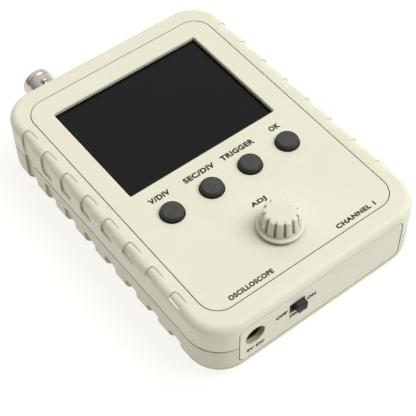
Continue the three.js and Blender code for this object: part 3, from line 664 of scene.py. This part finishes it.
def case_ring(half_x, half_y, radius, z):
    """A ring round the case with the same count and order of points for any size."""
    r = max(radius, 0.05)
    sx, sy = half_x - r, half_y - r

    def corner(cx, cy, start):
        angles = arc(CORNER_STEPS, start, start + 90)[1:]
        return [(cx + r * cos(a), cy + r * sin(a), z) for a in angles]

    def end(direction):
        spots = [sx * (1 - 2 * i / END_STEPS) for i in range(1, END_STEPS + 1)]
        return [(direction * x, direction * half_y, z) for x in spots]

    ring = [(half_x, f * sy, z) for f in SIDE] + corner(sx, sy, 0) + end(1) + corner(-sx, sy, 90)
    ring += [(-half_x, f * sy, z) for f in reversed(SIDE[:-1])] + corner(-sx, -sy, 180) + end(-1)
    return ring + corner(sx, -sy, 270)[:-1]


def inset_ring(inset, z):
    return case_ring(HALF_W - inset, HALF_L - inset, CORNER_R - inset, z)


def face_ring(margin, z):
    return case_ring(PANEL_HIGH.x + margin, PANEL_HIGH.y + margin, FACE_R + margin, z)


def smooth_step(t):
    t = min(max(t, 0.0), 1.0)
    return t * t * (3 - 2 * t)


def front_grip_bottom(k):
    """Height of the lower end of a front recess. The first runs on through the seam."""
    return FRONT_BOTTOM - 3 if k == 0 else 13.3 + 1.08 * k


def rear_grip_top(k):
    return REAR_TOP + 3 if k == 0 else 5.6 + 6.3 * exp(-0.38 * k)


def recess(y, along, far_y, low, high):
    """Depth of one recess, 0 to 1. along is the height measured over the fillet."""
    if y > far_y or y < far_y - GRIP_LENGTH:
        return 0.0
    near_y = far_y - 2 * GRIP_LENGTH
    half_y, half_h = (far_y - near_y) / 2, (high - low) / 2
    radius = min(GRIP_ARCH, half_h)
    dy = abs(y - (far_y + near_y) / 2) - half_y + radius
    dh = abs(along - (low + high) / 2) - half_h + radius
    inside = radius - hypot(max(dy, 0), max(dh, 0)) - min(max(dy, dh), 0)
    if dy > 0 and dh > 0:
        ledge = dh * dh / (dy * dy + dh * dh)
    else:
        ledge = 1.0 if dh > dy else 0.0
    t = (y - (far_y - GRIP_LENGTH)) / GRIP_LENGTH
    floor_depth = smooth_step(t / 0.2) * (0.6 + 0.4 * min(t / 0.6, 1))
    return floor_depth * smooth_step(inside / (GRIP_WALL + (GRIP_LEDGE - GRIP_WALL) * ledge))


FRONT_TOP_ALONG = TOP_Z - FRONT_FILLET + FRONT_FILLET * pi / 2 + GRIP_ON_FACE
REAR_LOW_ALONG = BACK_FILLET * (1 - pi / 2) + 0.35


def deepest(y, along, span):
    """Depth of the recess at a place, in mm. span(k) is the low and high end of recess k."""
    return GRIP_DEPTH * max(
        recess(y, along, GRIP_FIRST_Y - GRIP_PITCH * k, *span(k)) for k in range(GRIP_COUNT)
    )


def front_depth(y, along):
    depth = deepest(y, along, lambda k: (front_grip_bottom(k), FRONT_TOP_ALONG))
    rise = (along - (TOP_Z - FRONT_FILLET)) / (FRONT_FILLET * pi / 2)
    return depth * (0.75 - 0.35 * smooth_step(rise))


def rear_depth(y, along):
    depth = deepest(y, along, lambda k: (REAR_LOW_ALONG, rear_grip_top(k)))
    fall = (BACK_FILLET - along) / (BACK_FILLET * pi / 2)
    return depth * (1 + 0.45 * smooth_step(2 * fall) - 0.8 * smooth_step(fall * 1.3 - 0.3))


def sculpted_ring(inset, z, tilt, along, depth_at):
    """An outer ring, pushed in by the recesses. tilt is how far the surface leans from upright."""
    ring = []
    for x, y, height in inset_ring(inset, z):
        if abs(y) <= STRAIGHT and abs(x) > HALF_W - CORNER_R:
            depth = depth_at(y, along)
            x -= copysign(depth * cos(tilt), x)
            height -= depth * sin(tilt)
        ring.append((x, y, height))
    return ring


def levels(low, high):
    """Heights between low and high, about RING_STEP apart."""
    count = max(1, round((high - low) / RING_STEP))
    return [low + (high - low) * i / count for i in range(1, count)]


def front_outer_rings():
    rings = []
    for a in arc(4, 90, 0):
        z = FRONT_BOTTOM + SEAM_EDGE * (1 - sin(a))
        rings.append(sculpted_ring(SEAM_EDGE * (1 - cos(a)), z, 0, z, front_depth))
    fillet_z = TOP_Z - FRONT_FILLET
    for z in levels(FRONT_BOTTOM + SEAM_EDGE, fillet_z) + [fillet_z]:
        rings.append(sculpted_ring(0, z, 0, z, front_depth))
    for a in arc(20, 0, 90)[1:]:
        inset = FRONT_FILLET * (1 - cos(a))
        z = fillet_z + FRONT_FILLET * sin(a)
        rings.append(sculpted_ring(inset, z, a, fillet_z + FRONT_FILLET * a, front_depth))
    for extra in (0.12, 0.25, 0.4, 0.5, 0.6, 0.7, 0.8, 0.9, 1.1):
        along = fillet_z + FRONT_FILLET * pi / 2 + extra
        rings.append(sculpted_ring(FRONT_FILLET + extra, TOP_Z, pi / 2, along, front_depth))
    return rings


CORNERS = ("bottom_left", "bottom_right", "top_left", "top_right")
CASE_SCREWS = [f"case_screw_{corner}" for corner in CORNERS]
CASE_SCREW_SPOTS = [middle(node) for node in CASE_SCREWS]
MAIN_SCREWS = [f"main_board_screw_{i}" for i in range(1, 5)]
END_OUTLINE = round_rect(-END_HALF_W, END_HALF_W, END_LOW.z, END_HIGH.z, 2.0, steps=10)


def case_end_cutters():
    """Cutters for the two end openings, which round the openings' outer edges."""
    cutters = []
    for direction in (-1, 1):
        surface = direction * HALF_L
        profile = hole_profile(surface - direction * 5, surface, 0.1)
        cutters.append(prism_y(END_OUTLINE, [(GAP + grow, y) for grow, y in profile]))
    return cutters


def posts(spots, radius, z0, z1):
    """Upright round posts at the spots, as solids or as cutters."""
    return [prism_z(circle(s.x, s.y, radius, 32), [(0, z0), (0, z1)]) for s in spots]


def front_shell():
    ledge_top = PANEL_LOW.z - GAP
    ledge_bottom = ledge_top - LEDGE_T
    inner_top = TOP_Z - WALL
    skirt = 2.6  # how far the plastic round the ledge reaches past the panel
    edge = 0.08
    rings = front_outer_rings()
    for a in arc(4, 90, 0):
        rings.append(face_ring(GAP + edge * (1 - cos(a)), TOP_Z - edge * (1 - sin(a))))
    rings += [
        face_ring(GAP, ledge_top),
        face_ring(-LEDGE_W + 0.1, ledge_top),
        face_ring(-LEDGE_W, ledge_top - 0.1),
        face_ring(-LEDGE_W, ledge_bottom),
        face_ring(skirt, ledge_bottom),
        face_ring(skirt + 0.3, inner_top),
        inset_ring(WALL + 0.6, inner_top),
        inset_ring(WALL + 0.15, inner_top - 0.2),
        inset_ring(WALL, inner_top - 0.8),
        inset_ring(WALL, FRONT_BOTTOM),
    ]
    shell = bridge(rings, caps=False)
    into_top = inner_top + 0.5
    shell = add(shell, *posts(CASE_SCREW_SPOTS, CASE_SCREW_BOSS_R, FRONT_BOTTOM, into_top))
    board_top = mm_box("main_board")[1].z
    board_spots = [middle(node) for node in MAIN_SCREWS]
    shell = add(shell, *posts(board_spots, BOARD_BOSS_R, board_top + GAP, into_top))
    pilots = posts(CASE_SCREW_SPOTS, CASE_SCREW_BORE_R, FRONT_BOTTOM - 1, CASE_PILOT_TOP)
    pilots += posts(board_spots, BOARD_SCREW_BORE_R, 10, BOARD_PILOT_TOP)
    shell = cut(cut(shell, *pilots), *case_end_cutters())
    piece("case_front", shell, "front_shell", "case", painted_shade_at=shell_painted_shade)


def rear_shell():
    rings = [inset_ring(WALL, BACK_FILLET), inset_ring(WALL, REAR_TOP)]
    for a in arc(4, 90, 0):
        z = REAR_TOP - SEAM_EDGE * (1 - sin(a))
        rings.append(sculpted_ring(SEAM_EDGE * (1 - cos(a)), z, 0, z, rear_depth))
    for z in reversed(levels(BACK_FILLET, REAR_TOP - SEAM_EDGE)):
        rings.append(sculpted_ring(0, z, 0, z, rear_depth))
    for a in arc(26, 0, 90):
        inset = BACK_FILLET * (1 - cos(a))
        z = BACK_FILLET * (1 - sin(a))
        rings.append(sculpted_ring(inset, z, -a, BACK_FILLET - BACK_FILLET * a, rear_depth))
    rings.append(inset_ring(BACK_FILLET + 0.6, 0))
    inner = BACK_FILLET - WALL
    floor_rings = [inset_ring(WALL + inner + 0.6, WALL)]
    for a in arc(6, 0, 90)[:-1]:
        inset = WALL + inner * (1 - sin(a))
        floor_rings.append(inset_ring(inset, WALL + inner * (1 - cos(a))))
    shell = bridge(floor_rings + rings)
    bosses = posts(CASE_SCREW_SPOTS, CASE_SCREW_TUBE_R, WALL - 0.5, REAR_TOP)
    bores = posts(CASE_SCREW_SPOTS, CASE_SCREW_BORE_R, 1, REAR_TOP + 1)
    for board in ("analog", "control"):
        seat = mm_box(f"{board}_board")[0].z - GAP
        spots = [middle(f"{board}_board_screw_{i}") for i in (1, 2)]
        bosses += posts(spots, BOARD_SEAT_R, WALL - 0.5, seat)
        bores += posts(spots, BOARD_SCREW_BORE_R, 0.8, 9)
    shell = add(shell, *bosses)
    heads = [prism_z(circle(s.x, s.y, HEAD_HOLE_R), hole_profile(3, 0, 0.25)) for s in CASE_SCREW_SPOTS]
    shell = cut(cut(shell, *heads), *bores)
    shell = cut(shell, *case_end_cutters())
    piece("case_rear", shell, "rear_shell", "case", painted_shade_at=shell_painted_shade)


# ---- face panel, screen and labels

WINDOW = (-25.8, 25.2, 0.0, 38.5)  # x and y limits of the screen window
FILM_T = 0.03  # thickness of printed words
CAPITALS = 1.9  # height of the words by the keys and the knob
KEYS = ("v_div", "sec_div", "trigger", "ok")
KEY_HOLE_R = 3.6
SHAFT_HOLE_R = 4.4


def face_panel():
    z0, z1 = PANEL_LOW.z, PANEL_HIGH.z
    plate = bridge([face_ring(grow + 0.08, z) for grow, z in plate_profile(z0, z1, 0.1)])
    cutters = [prism_z(round_rect(*WINDOW, 0.35), hole_profile(z0 - 1, z1, 0.5))]
    through = hole_profile(z0 - 1, z1, 0.2)
    for key in KEYS:
        spot = middle(f"button_{key}")
        cutters.append(prism_z(circle(spot.x, spot.y, KEY_HOLE_R, 64), through))
    spot = middle("encoder_shaft")
    cutters.append(prism_z(circle(spot.x, spot.y, SHAFT_HOLE_R), through))

    # Painted shade on the panel's outward edges, down in the groove round it.
    def in_groove(centre, normal):
        at_border = abs(centre.x) > PANEL_HIGH.x - 5 or abs(centre.y) > PANEL_HIGH.y - 5
        outward = normal.x * centre.x + normal.y * centre.y > 0
        return 0.75 if at_border and outward and normal.z < 0.9 else 0.0

    plate = cut(plate, *cutters)
    piece("face_panel", plate, "front_panel", "face", painted_shade_at=in_groove)


def screen():
    low, high = GLASS_LOW, GLASS_HIGH
    outline = round_rect(low.x, high.x, low.y, high.y, 0.5)
    glass = prism_z(outline, plate_profile(low.z, high.z, 0.2))
    piece("screen_window", glass, "lcd_glass", "screen")


def label(name, words, centre, width, height, on_end=False):
    """Printed words as a thin raised film, scaled to a width and a capital height."""
    curve = bpy.data.curves.new(name, "FONT")
    curve.body = words
    curve.space_character = 1.12
    curve.offset = 0.075 if on_end else 0.052  # how much bolder than the font
    curve.extrude = 0.02
    curve.resolution_u = 6
    text = placed(name, curve)
    bpy.context.view_layer.update()
    bm = bmesh.new()
    bm.from_mesh(text.evaluated_get(bpy.context.evaluated_depsgraph_get()).to_mesh())
    bpy.data.curves.remove(curve)
    spans = [(min(values), max(values)) for values in zip(*(v.co for v in bm.verts))]
    for v in bm.verts:
        part = [(value - low) / (high - low) for value, (low, high) in zip(v.co, spans)]
        u = centre[0] + (part[0] - 0.5) * width
        w = centre[1] + (part[1] - 0.5) * height
        lift = 0.005 + FILM_T * part[2]
        place = (u, END_LOW.y - lift, w) if on_end else (u, w, PANEL_HIGH.z + lift)
        v.co = Vector(place) * MM
    piece(f"print_{name.lower().replace('/', '_')}", bm, None, "ink")


def labels():
    by_keys = [("V/DIV", -19.75, 6.9), ("SEC/DIV", -6.05, 10.5), ("TRIGGER", 7.55, 11.6)]
    for words, x, width in by_keys + [("OK", 21.1, 3.6)]:
        label(words, words, (x, -5.1), width, CAPITALS)
    label("adjust", "ADJ", (0.55, -23.35), 5.1, CAPITALS)
    label("kind", "OSCILLOSCOPE", (-18.05, -42.95), 14.6, 1.55)
    label("channel", "CHANNEL 1", (18.4, -42.95), 13.8, 1.55)
    label("off", "OFF", (-14.4, 13.85), 3.9, 1.5, on_end=True)
    label("on", "ON", (-4.1, 13.75), 3.1, 1.5, on_end=True)
    label("power", "PWR", (-9.45, 10.35), 4.0, 1.5, on_end=True)
    label("supply", "9V DC", (-23.05, 7.6), 6.0, 1.45, on_end=True)


# ---- push buttons and knob


def buttons():
    for key in KEYS:
        node = f"button_{key}"
        low, high = mm_box(node)
        spot = middle(node)
        flange_top = PANEL_LOW.z - GAP
        flange_r = high.x - spot.x
        cap_r = KEY_HOLE_R - 0.3
        rim = high.z - 0.55
        side = [(cap_r, flange_top), (cap_r, rim - 0.2)]
        shoulder = bend(cap_r, rim, -0.5, 0.42, arc(6, 0, 78))
        foot_r, flange_low = 1.4, flange_top - 0.7
        profile = [(0, low.z), (foot_r, low.z), (foot_r, flange_low), (flange_r, flange_low)]
        profile += [(flange_r, flange_top)] + side + shoulder + dome(shoulder[-1], high.z, 10)

        def key_rim_shade(centre, normal):
            """Painted shade: a key is darker round its rim."""
            return smooth_step((hypot(centre.x - spot.x, centre.y - spot.y) - cap_r + 0.75) / 0.5)

        cap = lathe(spot.x, spot.y, profile)
        piece(f"keycap_{key}", cap, node, "button", body=node, painted_shade_at=key_rim_shade)


KNOB_FLUTES = 12
FLUTE_PHASE = radians(3)
FLUTE_HALF_W = 0.42
FLUTE_DEPTH = 0.6
SWELL = 0.05  # how far the grip bulges between its flutes
CROWN_R = 3.7  # the smooth middle of the knob's top


def knob():
    low, high = mm_box("adjust_knob")
    spot = middle("adjust_knob")
    base_r = high.x - spot.x
    body_r, top_r = 5.4, 4.9
    shoulder_z = low.z + 1.05
    rim_z = high.z - 0.75
    pitch = TAU / KNOB_FLUTES

    def from_groove(angle):
        return (angle - FLUTE_PHASE + pitch / 2) % pitch - pitch / 2

    def grooved(r, z, angle):
        off = from_groove(angle)
        groove = exp(-((off * body_r / FLUTE_HALF_W) ** 4))
        swell = SWELL * cos(off / pitch * TAU)
        fade = smooth_step((z - shoulder_z - 0.12) / 0.25) * smooth_step((r - CROWN_R) / 0.8)
        return r - (FLUTE_DEPTH * groove + swell) * fade

    def knob_painted_shade(centre, normal):
        """Painted shade in the grooves and round the foot of the grip, and painted shadow under the
        flange.
        """
        out = centre - spot
        r = hypot(out.x, out.y)
        if centre.z < low.z + 0.4:
            return 0.9 if r > base_r - 0.6 else 0.0
        if centre.z > rim_z + 0.1 or r < 3.9:
            return 0.0
        if centre.z < shoulder_z + 0.3:
            return 0.35 if r < body_r + 0.35 else 0.0
        return 0.9 * exp(-((from_groove(atan2(out.y, out.x)) * body_r / 0.36) ** 4))

    flange = [(base_r - 0.25, low.z), (base_r, low.z + 0.25), (base_r, shoulder_z - 0.45)]
    flange += bend(base_r, shoulder_z - 0.45, -0.4, 0.4, arc(5, 0, 90))
    foot = 0.25
    grip_z = shoulder_z + foot
    grip = [(body_r + foot * (1 - sin(a)), grip_z - foot * cos(a)) for a in arc(4, 0, 90)]
    rows = 14
    slope = [
        (body_r + (top_r - body_r) * i / rows, grip_z + (rim_z - grip_z) * i / rows)
        for i in range(1, rows + 1)
    ]
    rim = bend(top_r, rim_z, -0.7, 0.55, arc(8, 0, 84)[1:])
    profile = [(0, low.z)] + flange + grip + slope + rim + dome(rim[-1], high.z, 12)
    body = lathe(spot.x, spot.y, profile, steps=360, radius_at=grooved)
    shaft_top = mm_box("encoder_shaft")[1].z
    body = cut(body, *posts([spot], 3.3, low.z - 1, shaft_top + GAP))
    piece(
        "control_knob", body, "adjust_knob", "knob", body="knob", sharp=40, painted_shade_at=knob_painted_shade,
    )


# ---- end panels, switches and sockets


def end_panel(direction, outlines):
    """An end panel with openings of the given outlines. Its side flanges reach behind the case."""
    outer = direction * abs(END_LOW.y)
    inner = outer - direction * END_T
    back = inner - direction * END_T
    plate = prism_y(END_OUTLINE, plate_profile(*sorted((outer, inner)), 0.2))
    for side in (-1, 1):
        edge = side * END_HALF_W
        for reach, start in ((0.0, outer - direction * 0.15), (FLANGE_LIP, inner - direction * 0.9)):
            corner, opposite = (edge - side * 0.3, start, 7), (edge + side * reach, back, 17.4)
            plate = add(plate, rounded_box(corner, opposite, 0.05))
    through = hole_profile(outer - direction * 4, outer, END_HOLE_EDGE)
    return cut(plate, *[prism_y(outline, through) for outline in outlines])


def bottom_end():
    jack = middle("dc_jack_pin")
    lever_low, lever_high = mm_box("power_switch_lever")
    left, right, low, high = -11.6, -6.5, lever_low.z - 0.35, lever_high.z + 0.3
    slot = round_rect(left, right, low, high, 0.3)
    panel = end_panel(-1, [circle(jack.x, jack.z, POWER_HOLE_R, 64), slot])

    # Painted shade inside the power hole and the switch slot, and painted shadow on the chamfer round the
    # panel.
    def inside_openings(centre, normal):
        if abs(normal.y) > 0.3:
            return end_rim_painted_shadow(centre, normal)
        in_hole = hypot(centre.x - jack.x, centre.z - jack.z) < POWER_HOLE_R + END_HOLE_EDGE
        in_slot = left - 0.3 < centre.x < right + 0.3 and low - 0.3 < centre.z < high + 0.3
        return 1.0 if in_slot or in_hole else 0.0

    piece("end_panel_power", panel, "bottom_end_panel", "case", painted_shade_at=inside_openings)


def top_end():
    barrel = middle("bnc_contact")
    lever = middle("coupling_switch_lever")
    loop = middle("test_signal_terminal")
    loop_z = mm_box("test_signal_terminal")[1].z - LOOP_WIRE_R
    panel = end_panel(1, [
        circle(barrel.x, barrel.z, BARREL_HOLE_R, 64),
        round_rect(lever.x - 3.9, lever.x + 3.9, lever.z - 1.6, lever.z + 1.6, 0.3),
        round_rect(loop.x - 2.8, loop.x + 2.8, loop_z - 1.2, loop_z + 1.2, 0.3),
    ])
    piece("end_panel_signal", panel, "top_end_panel", "case", painted_shade_at=end_rim_painted_shadow)


def slide_lever(node, direction):
    """A switch's lever: a carriage inside and a ribbed thumb piece that stands out of the slot."""
    low, high = mm_box(node)
    centre_x = (low.x + high.x) / 2
    tip, back = (low.y, high.y) if direction < 0 else (high.y, low.y)
    body = rounded_box((centre_x - 1.5, tip, low.z), (centre_x + 1.5, back, high.z), 0.18)
    carriage_end = (high.x, back + direction * 2.5, high.z - 0.01)
    body = add(body, rounded_box((low.x, back, low.z + 0.01), carriage_end, 0.12))
    grooves = []
    for x in (centre_x - 0.9, centre_x - 0.3, centre_x + 0.3, centre_x + 0.9):
        root = (x + 0.13, tip - direction * 0.4, high.z + 1)
        grooves.append(rounded_box((x - 0.13, tip + direction, low.z - 1), root, 0.04))
    piece(f"{node}_thumb", cut(body, *grooves), node, "black", body=node)


def signal_input():
    low, high = mm_box("bnc_shell")
    contact = middle("bnc_contact")
    mouth, rear = high.y, low.y
    barrel_r = high.x - contact.x
    bore_r, inner_r = barrel_r - 0.7, 2.6
    collar, bore_end = HALF_L + 1.2, HALF_L + 2
    neck_r = barrel_r - 0.12
    loop = [(inner_r, rear), (barrel_r - 0.1, rear), (barrel_r, rear + 0.1)]
    loop += [(barrel_r, collar), (neck_r, collar + 0.12), (neck_r, mouth - 1.9)]
    loop += [(barrel_r, mouth - 1.75), (barrel_r, mouth - 0.4)]
    loop += bend(barrel_r, mouth - 0.35, -0.35, 0.35, arc(5, 10, 90))
    loop += [(bore_r + 0.12, mouth), (bore_r, mouth - 0.12), (bore_r, bore_end), (inner_r, bore_end)]
    shell = along_y(tube_lathe(loop, 112), contact.x, contact.z)
    lug_y, lug_r = HALF_L + 5.85, 1.0
    for side in (-1, 1):
        tip = contact.z + side * (barrel_r + 0.9)
        root = contact.z + side * (barrel_r - 0.5)
        edge = [(-0.25 * (1 - cos(a)), tip - side * 0.25 * (1 - sin(a))) for a in arc(4, 0, 90)]
        shell = add(shell, prism_z(circle(contact.x, lug_y, lug_r, 32), [(0, root)] + edge))
    piece("signal_barrel", shell, "bnc_shell", "nickel", sharp=25)

    low, high = (corner.y for corner in mm_box("bnc_insulator"))
    loop = [(1.1, low), (2.2, low), (2.3, low + 0.1), (2.3, high - 0.15), (2.15, high), (1.25, high)]
    tube = along_y(tube_lathe(loop + [(1.1, high - 0.15)], 64), contact.x, contact.z)
    piece("signal_insulator", tube, "bnc_insulator", "white")

    radius = mm_box("bnc_contact")[1].x - contact.x
    low, high = (corner.y for corner in mm_box("bnc_contact"))
    profile = [(0, low), (radius - 0.1, low), (radius, low + 0.1), (radius, high - 0.15)]
    profile += [(radius - 0.12, high), (0.42, high), (0.38, high - 0.1)]
    profile += [(0.38, high - 2.5), (0, high - 2.8)]
    pin = along_y(lathe(0, 0, profile, 48), contact.x, contact.z)
    piece("signal_contact", pin, "bnc_contact", "brass")


def power_jack():
    low, high = mm_box("dc_jack_body")
    pin_low, pin_high = mm_box("dc_jack_pin")
    spot = middle("dc_jack_pin")
    bore = prism_y(circle(spot.x, spot.z, 3.0, 64), hole_profile(low.y + 10, low.y, 0.12))
    channel = prism_y(circle(spot.x, spot.z, 1.3), [(0, low.y + 9), (0, high.y + 1)])
    block = cut(cut(rounded_box(low, high, 0.25), bore), channel)
    piece("power_socket", block, "dc_jack_body", "black")
    radius = pin_high.x - spot.x
    nose = [(radius * sin(a), pin_low.y + radius * 0.8 * (1 - cos(a))) for a in arc(8, 0, 90)]
    profile = nose + [(radius, pin_high.y - 0.15), (radius - 0.15, pin_high.y), (0, pin_high.y)]
    pin = along_y(lathe(0, 0, profile, 48), spot.x, spot.z)
    piece("power_pin", pin, "dc_jack_pin", "nickel")


def test_loop():
    """A bent wire loop for the test signal, with its legs down to the board."""
    low, high = mm_box("test_signal_terminal")
    half = (high.x - low.x) / 2 - LOOP_WIRE_R
    x = (low.x + high.x) / 2
    z = high.z - LOOP_WIRE_R
    tip = high.y - LOOP_WIRE_R
    foot = low.y + LOOP_WIRE_R

    def leg(leg_x, angles):
        return [(leg_x, y, height) for y, height in bend(foot, z - 0.9, 0.9, 0.9, angles)]

    path = [(x - half, foot, low.z)] + leg(x - half, arc(5, 0, 90))
    path += [(x + half * -cos(a), tip - half + half * sin(a), z) for a in arc(16, 0, 180)]
    path += leg(x + half, arc(5, 90, 0)) + [(x + half, foot, low.z)]
    points = [Vector(p) for p in path]
    rings = []
    across = Vector((1, 0, 0))
    for i, p in enumerate(points):
        tangent = (points[min(i + 1, len(points) - 1)] - points[max(i - 1, 0)]).normalized()
        across = (across - tangent * across.dot(tangent)).normalized()
        up = tangent.cross(across)
        section = circle(0, 0, LOOP_WIRE_R, 16)(0)
        rings.append([tuple(p + across * u + up * v) for u, v in section])
    piece("test_loop", bridge(rings), "test_signal_terminal", "nickel")


def case_screws():
    """Pan-head cross-recess screws in the back's counterbores."""
    turns, thread_r, core_r = 12, 1.3, 1.05
    for node, spot in zip(CASE_SCREWS, CASE_SCREW_SPOTS):
        low, high = mm_box(node)
        head_r = (high.x - low.x) / 2
        seat = low.z + 1.6
        profile = [(head_r * sin(a), low.z + 0.45 * (1 - cos(a))) for a in arc(8, 0, 90)]
        profile += [(head_r, seat - 0.1), (head_r - 0.1, seat), (thread_r, seat)]
        step = (high.z - seat - 1.6) / turns
        for i in range(turns):
            profile += [(core_r, seat + 0.5 + step * i), (thread_r, seat + 0.5 + step * (i + 0.5))]
        profile += [(core_r, high.z - 0.9), (0, high.z)]
        body = lathe(spot.x, spot.y, profile, 40)
        for dx, dy in ((head_r * 0.6, 0.3), (0.3, head_r * 0.6)):
            corner = (spot.x - dx, spot.y - dy, low.z - 1)
            body = cut(body, rounded_box(corner, (spot.x + dx, spot.y + dy, low.z + 0.9), 0.05))
        piece(f"{node}_turned", body, node, "steel")


# ---- finishes of the inner nodes

INNER = {
    "board": ("main_board", "analog_board", "control_board"),
    "white": ("lcd_backlight", "encoder_rotor", "trimmer_body_1", "trimmer_body_2"),
    "ribbon": ("lcd_ribbon",),
    "steel": (
        "encoder_body", "encoder_shaft", "coupling_switch_body", *MAIN_SCREWS,
        *(f"{board}_board_screw_{i}" for board in ("analog", "control") for i in (1, 2)),
    ),
    "nickel": ("shield_can",),
    "brass": ("trimmer_rotor_1", "trimmer_rotor_2"),
    "chip": (
        "power_switch_body", "bnc_base", "processor_chip", "regulator_chip", "capacitor_1", "capacitor_2",
        "control_header_pins", "control_header_socket", "analog_header_pins", "analog_header_socket",
        *(f"tact_switch_{key}" for key in KEYS),
    ),
}


def finish_inner_nodes():
    """Gives each carried-over node its procedural material."""
    for key, nodes in INNER.items():
        for node in nodes:
            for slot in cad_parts[node].material_slots:
                slot.material = MATERIALS[key]


# ---- camera, light and floor


def camera():
    data = bpy.data.cameras.new("camera")
    data.lens = 100.654
    data.sensor_width = 36
    data.clip_start = 0.01
    data.clip_end = 20
    obj = placed("camera", data)
    obj.location = (-0.126506, -0.169668, 0.273691)
    obj.rotation_euler = Euler((radians(37.2774), radians(0.6973), radians(-37.7784)))
    bpy.context.scene.camera = obj


def key_light():
    """A large square softbox that looks at the case."""
    data = bpy.data.lights.new("key", "AREA")
    data.shape = "RECTANGLE"
    data.size = data.size_y = 2.8
    data.energy = 126.0
    obj = placed("key", data)
    obj.location = (1.95, -1.4, 3.35)
    direction = Vector((0, 0, 0.01)) - Vector(obj.location)
    obj.rotation_euler = direction.to_track_quat("-Z", "Y").to_euler()


def studio():
    """Soft light that is brightest and whitest high up to one side, and warmer where it's dim."""
    scene = bpy.context.scene
    scene.view_settings.view_transform = "Standard"
    world = bpy.data.worlds.new("studio")
    scene.world = world
    world.use_nodes = True
    tree = world.node_tree
    background = tree.nodes["Background"]
    direction = tree.nodes.new("ShaderNodeTexCoord").outputs["Generated"]
    slope = tree.nodes.new("ShaderNodeVectorMath")
    slope.operation = "DOT_PRODUCT"
    slope.inputs[1].default_value = (0.24, 0.31, 0.42)
    tree.links.new(direction, slope.inputs[0])
    level = tree.nodes.new("ShaderNodeMapRange")
    set_inputs(level, {"From Min": -0.12, "From Max": 0.6, "To Min": 0.0, "To Max": 0.98})
    tree.links.new(slope.outputs["Value"], level.inputs["Value"])
    tree.links.new(level.outputs["Result"], background.inputs["Strength"])
    tint = tree.nodes.new("ShaderNodeMix")
    tint.data_type = "RGBA"
    tint.inputs[6].default_value = (1.0, 0.85, 0.62, 1)
    tint.inputs[7].default_value = (1.0, 1.0, 1.0, 1)
    tree.links.new(level.outputs["Result"], tint.inputs[0])
    tree.links.new(tint.outputs[2], background.inputs["Color"])
    key_light()


def floor():
    """A plain light table that the case lies on, curved up a little far away from it."""
    bm = bmesh.new()
    bmesh.ops.create_grid(bm, x_segments=24, y_segments=24, size=3.0)
    for v in bm.verts:
        far = max(0.0, hypot(v.co.x, v.co.y) - 1.2)
        v.co.z = -0.0002 + 0.02 * far * far
    mesh = mesh_of(bm, "floor")
    for polygon in mesh.polygons:
        polygon.use_smooth = True
    obj = placed("floor", mesh)
    n = Nodes("floor_paper")
    n.colour(n.mix(n.noise(60, 3), (0.21, 0.21, 0.21), (0.23, 0.23, 0.23)))
    n.set(Roughness=0.85, Specular_IOR_Level=0.1)
    n.set(Emission_Color=(1.0, 0.98, 0.955, 1), Emission_Strength=0.84)
    mesh.materials.append(n.material)


camera()
studio()
floor()
front_shell()
rear_shell()
face_panel()
screen()
labels()
buttons()
knob()
bottom_end()
top_end()
slide_lever("power_switch_lever", -1)
slide_lever("coupling_switch_lever", 1)
signal_input()
power_jack()
test_loop()
case_screws()
finish_inner_nodes()
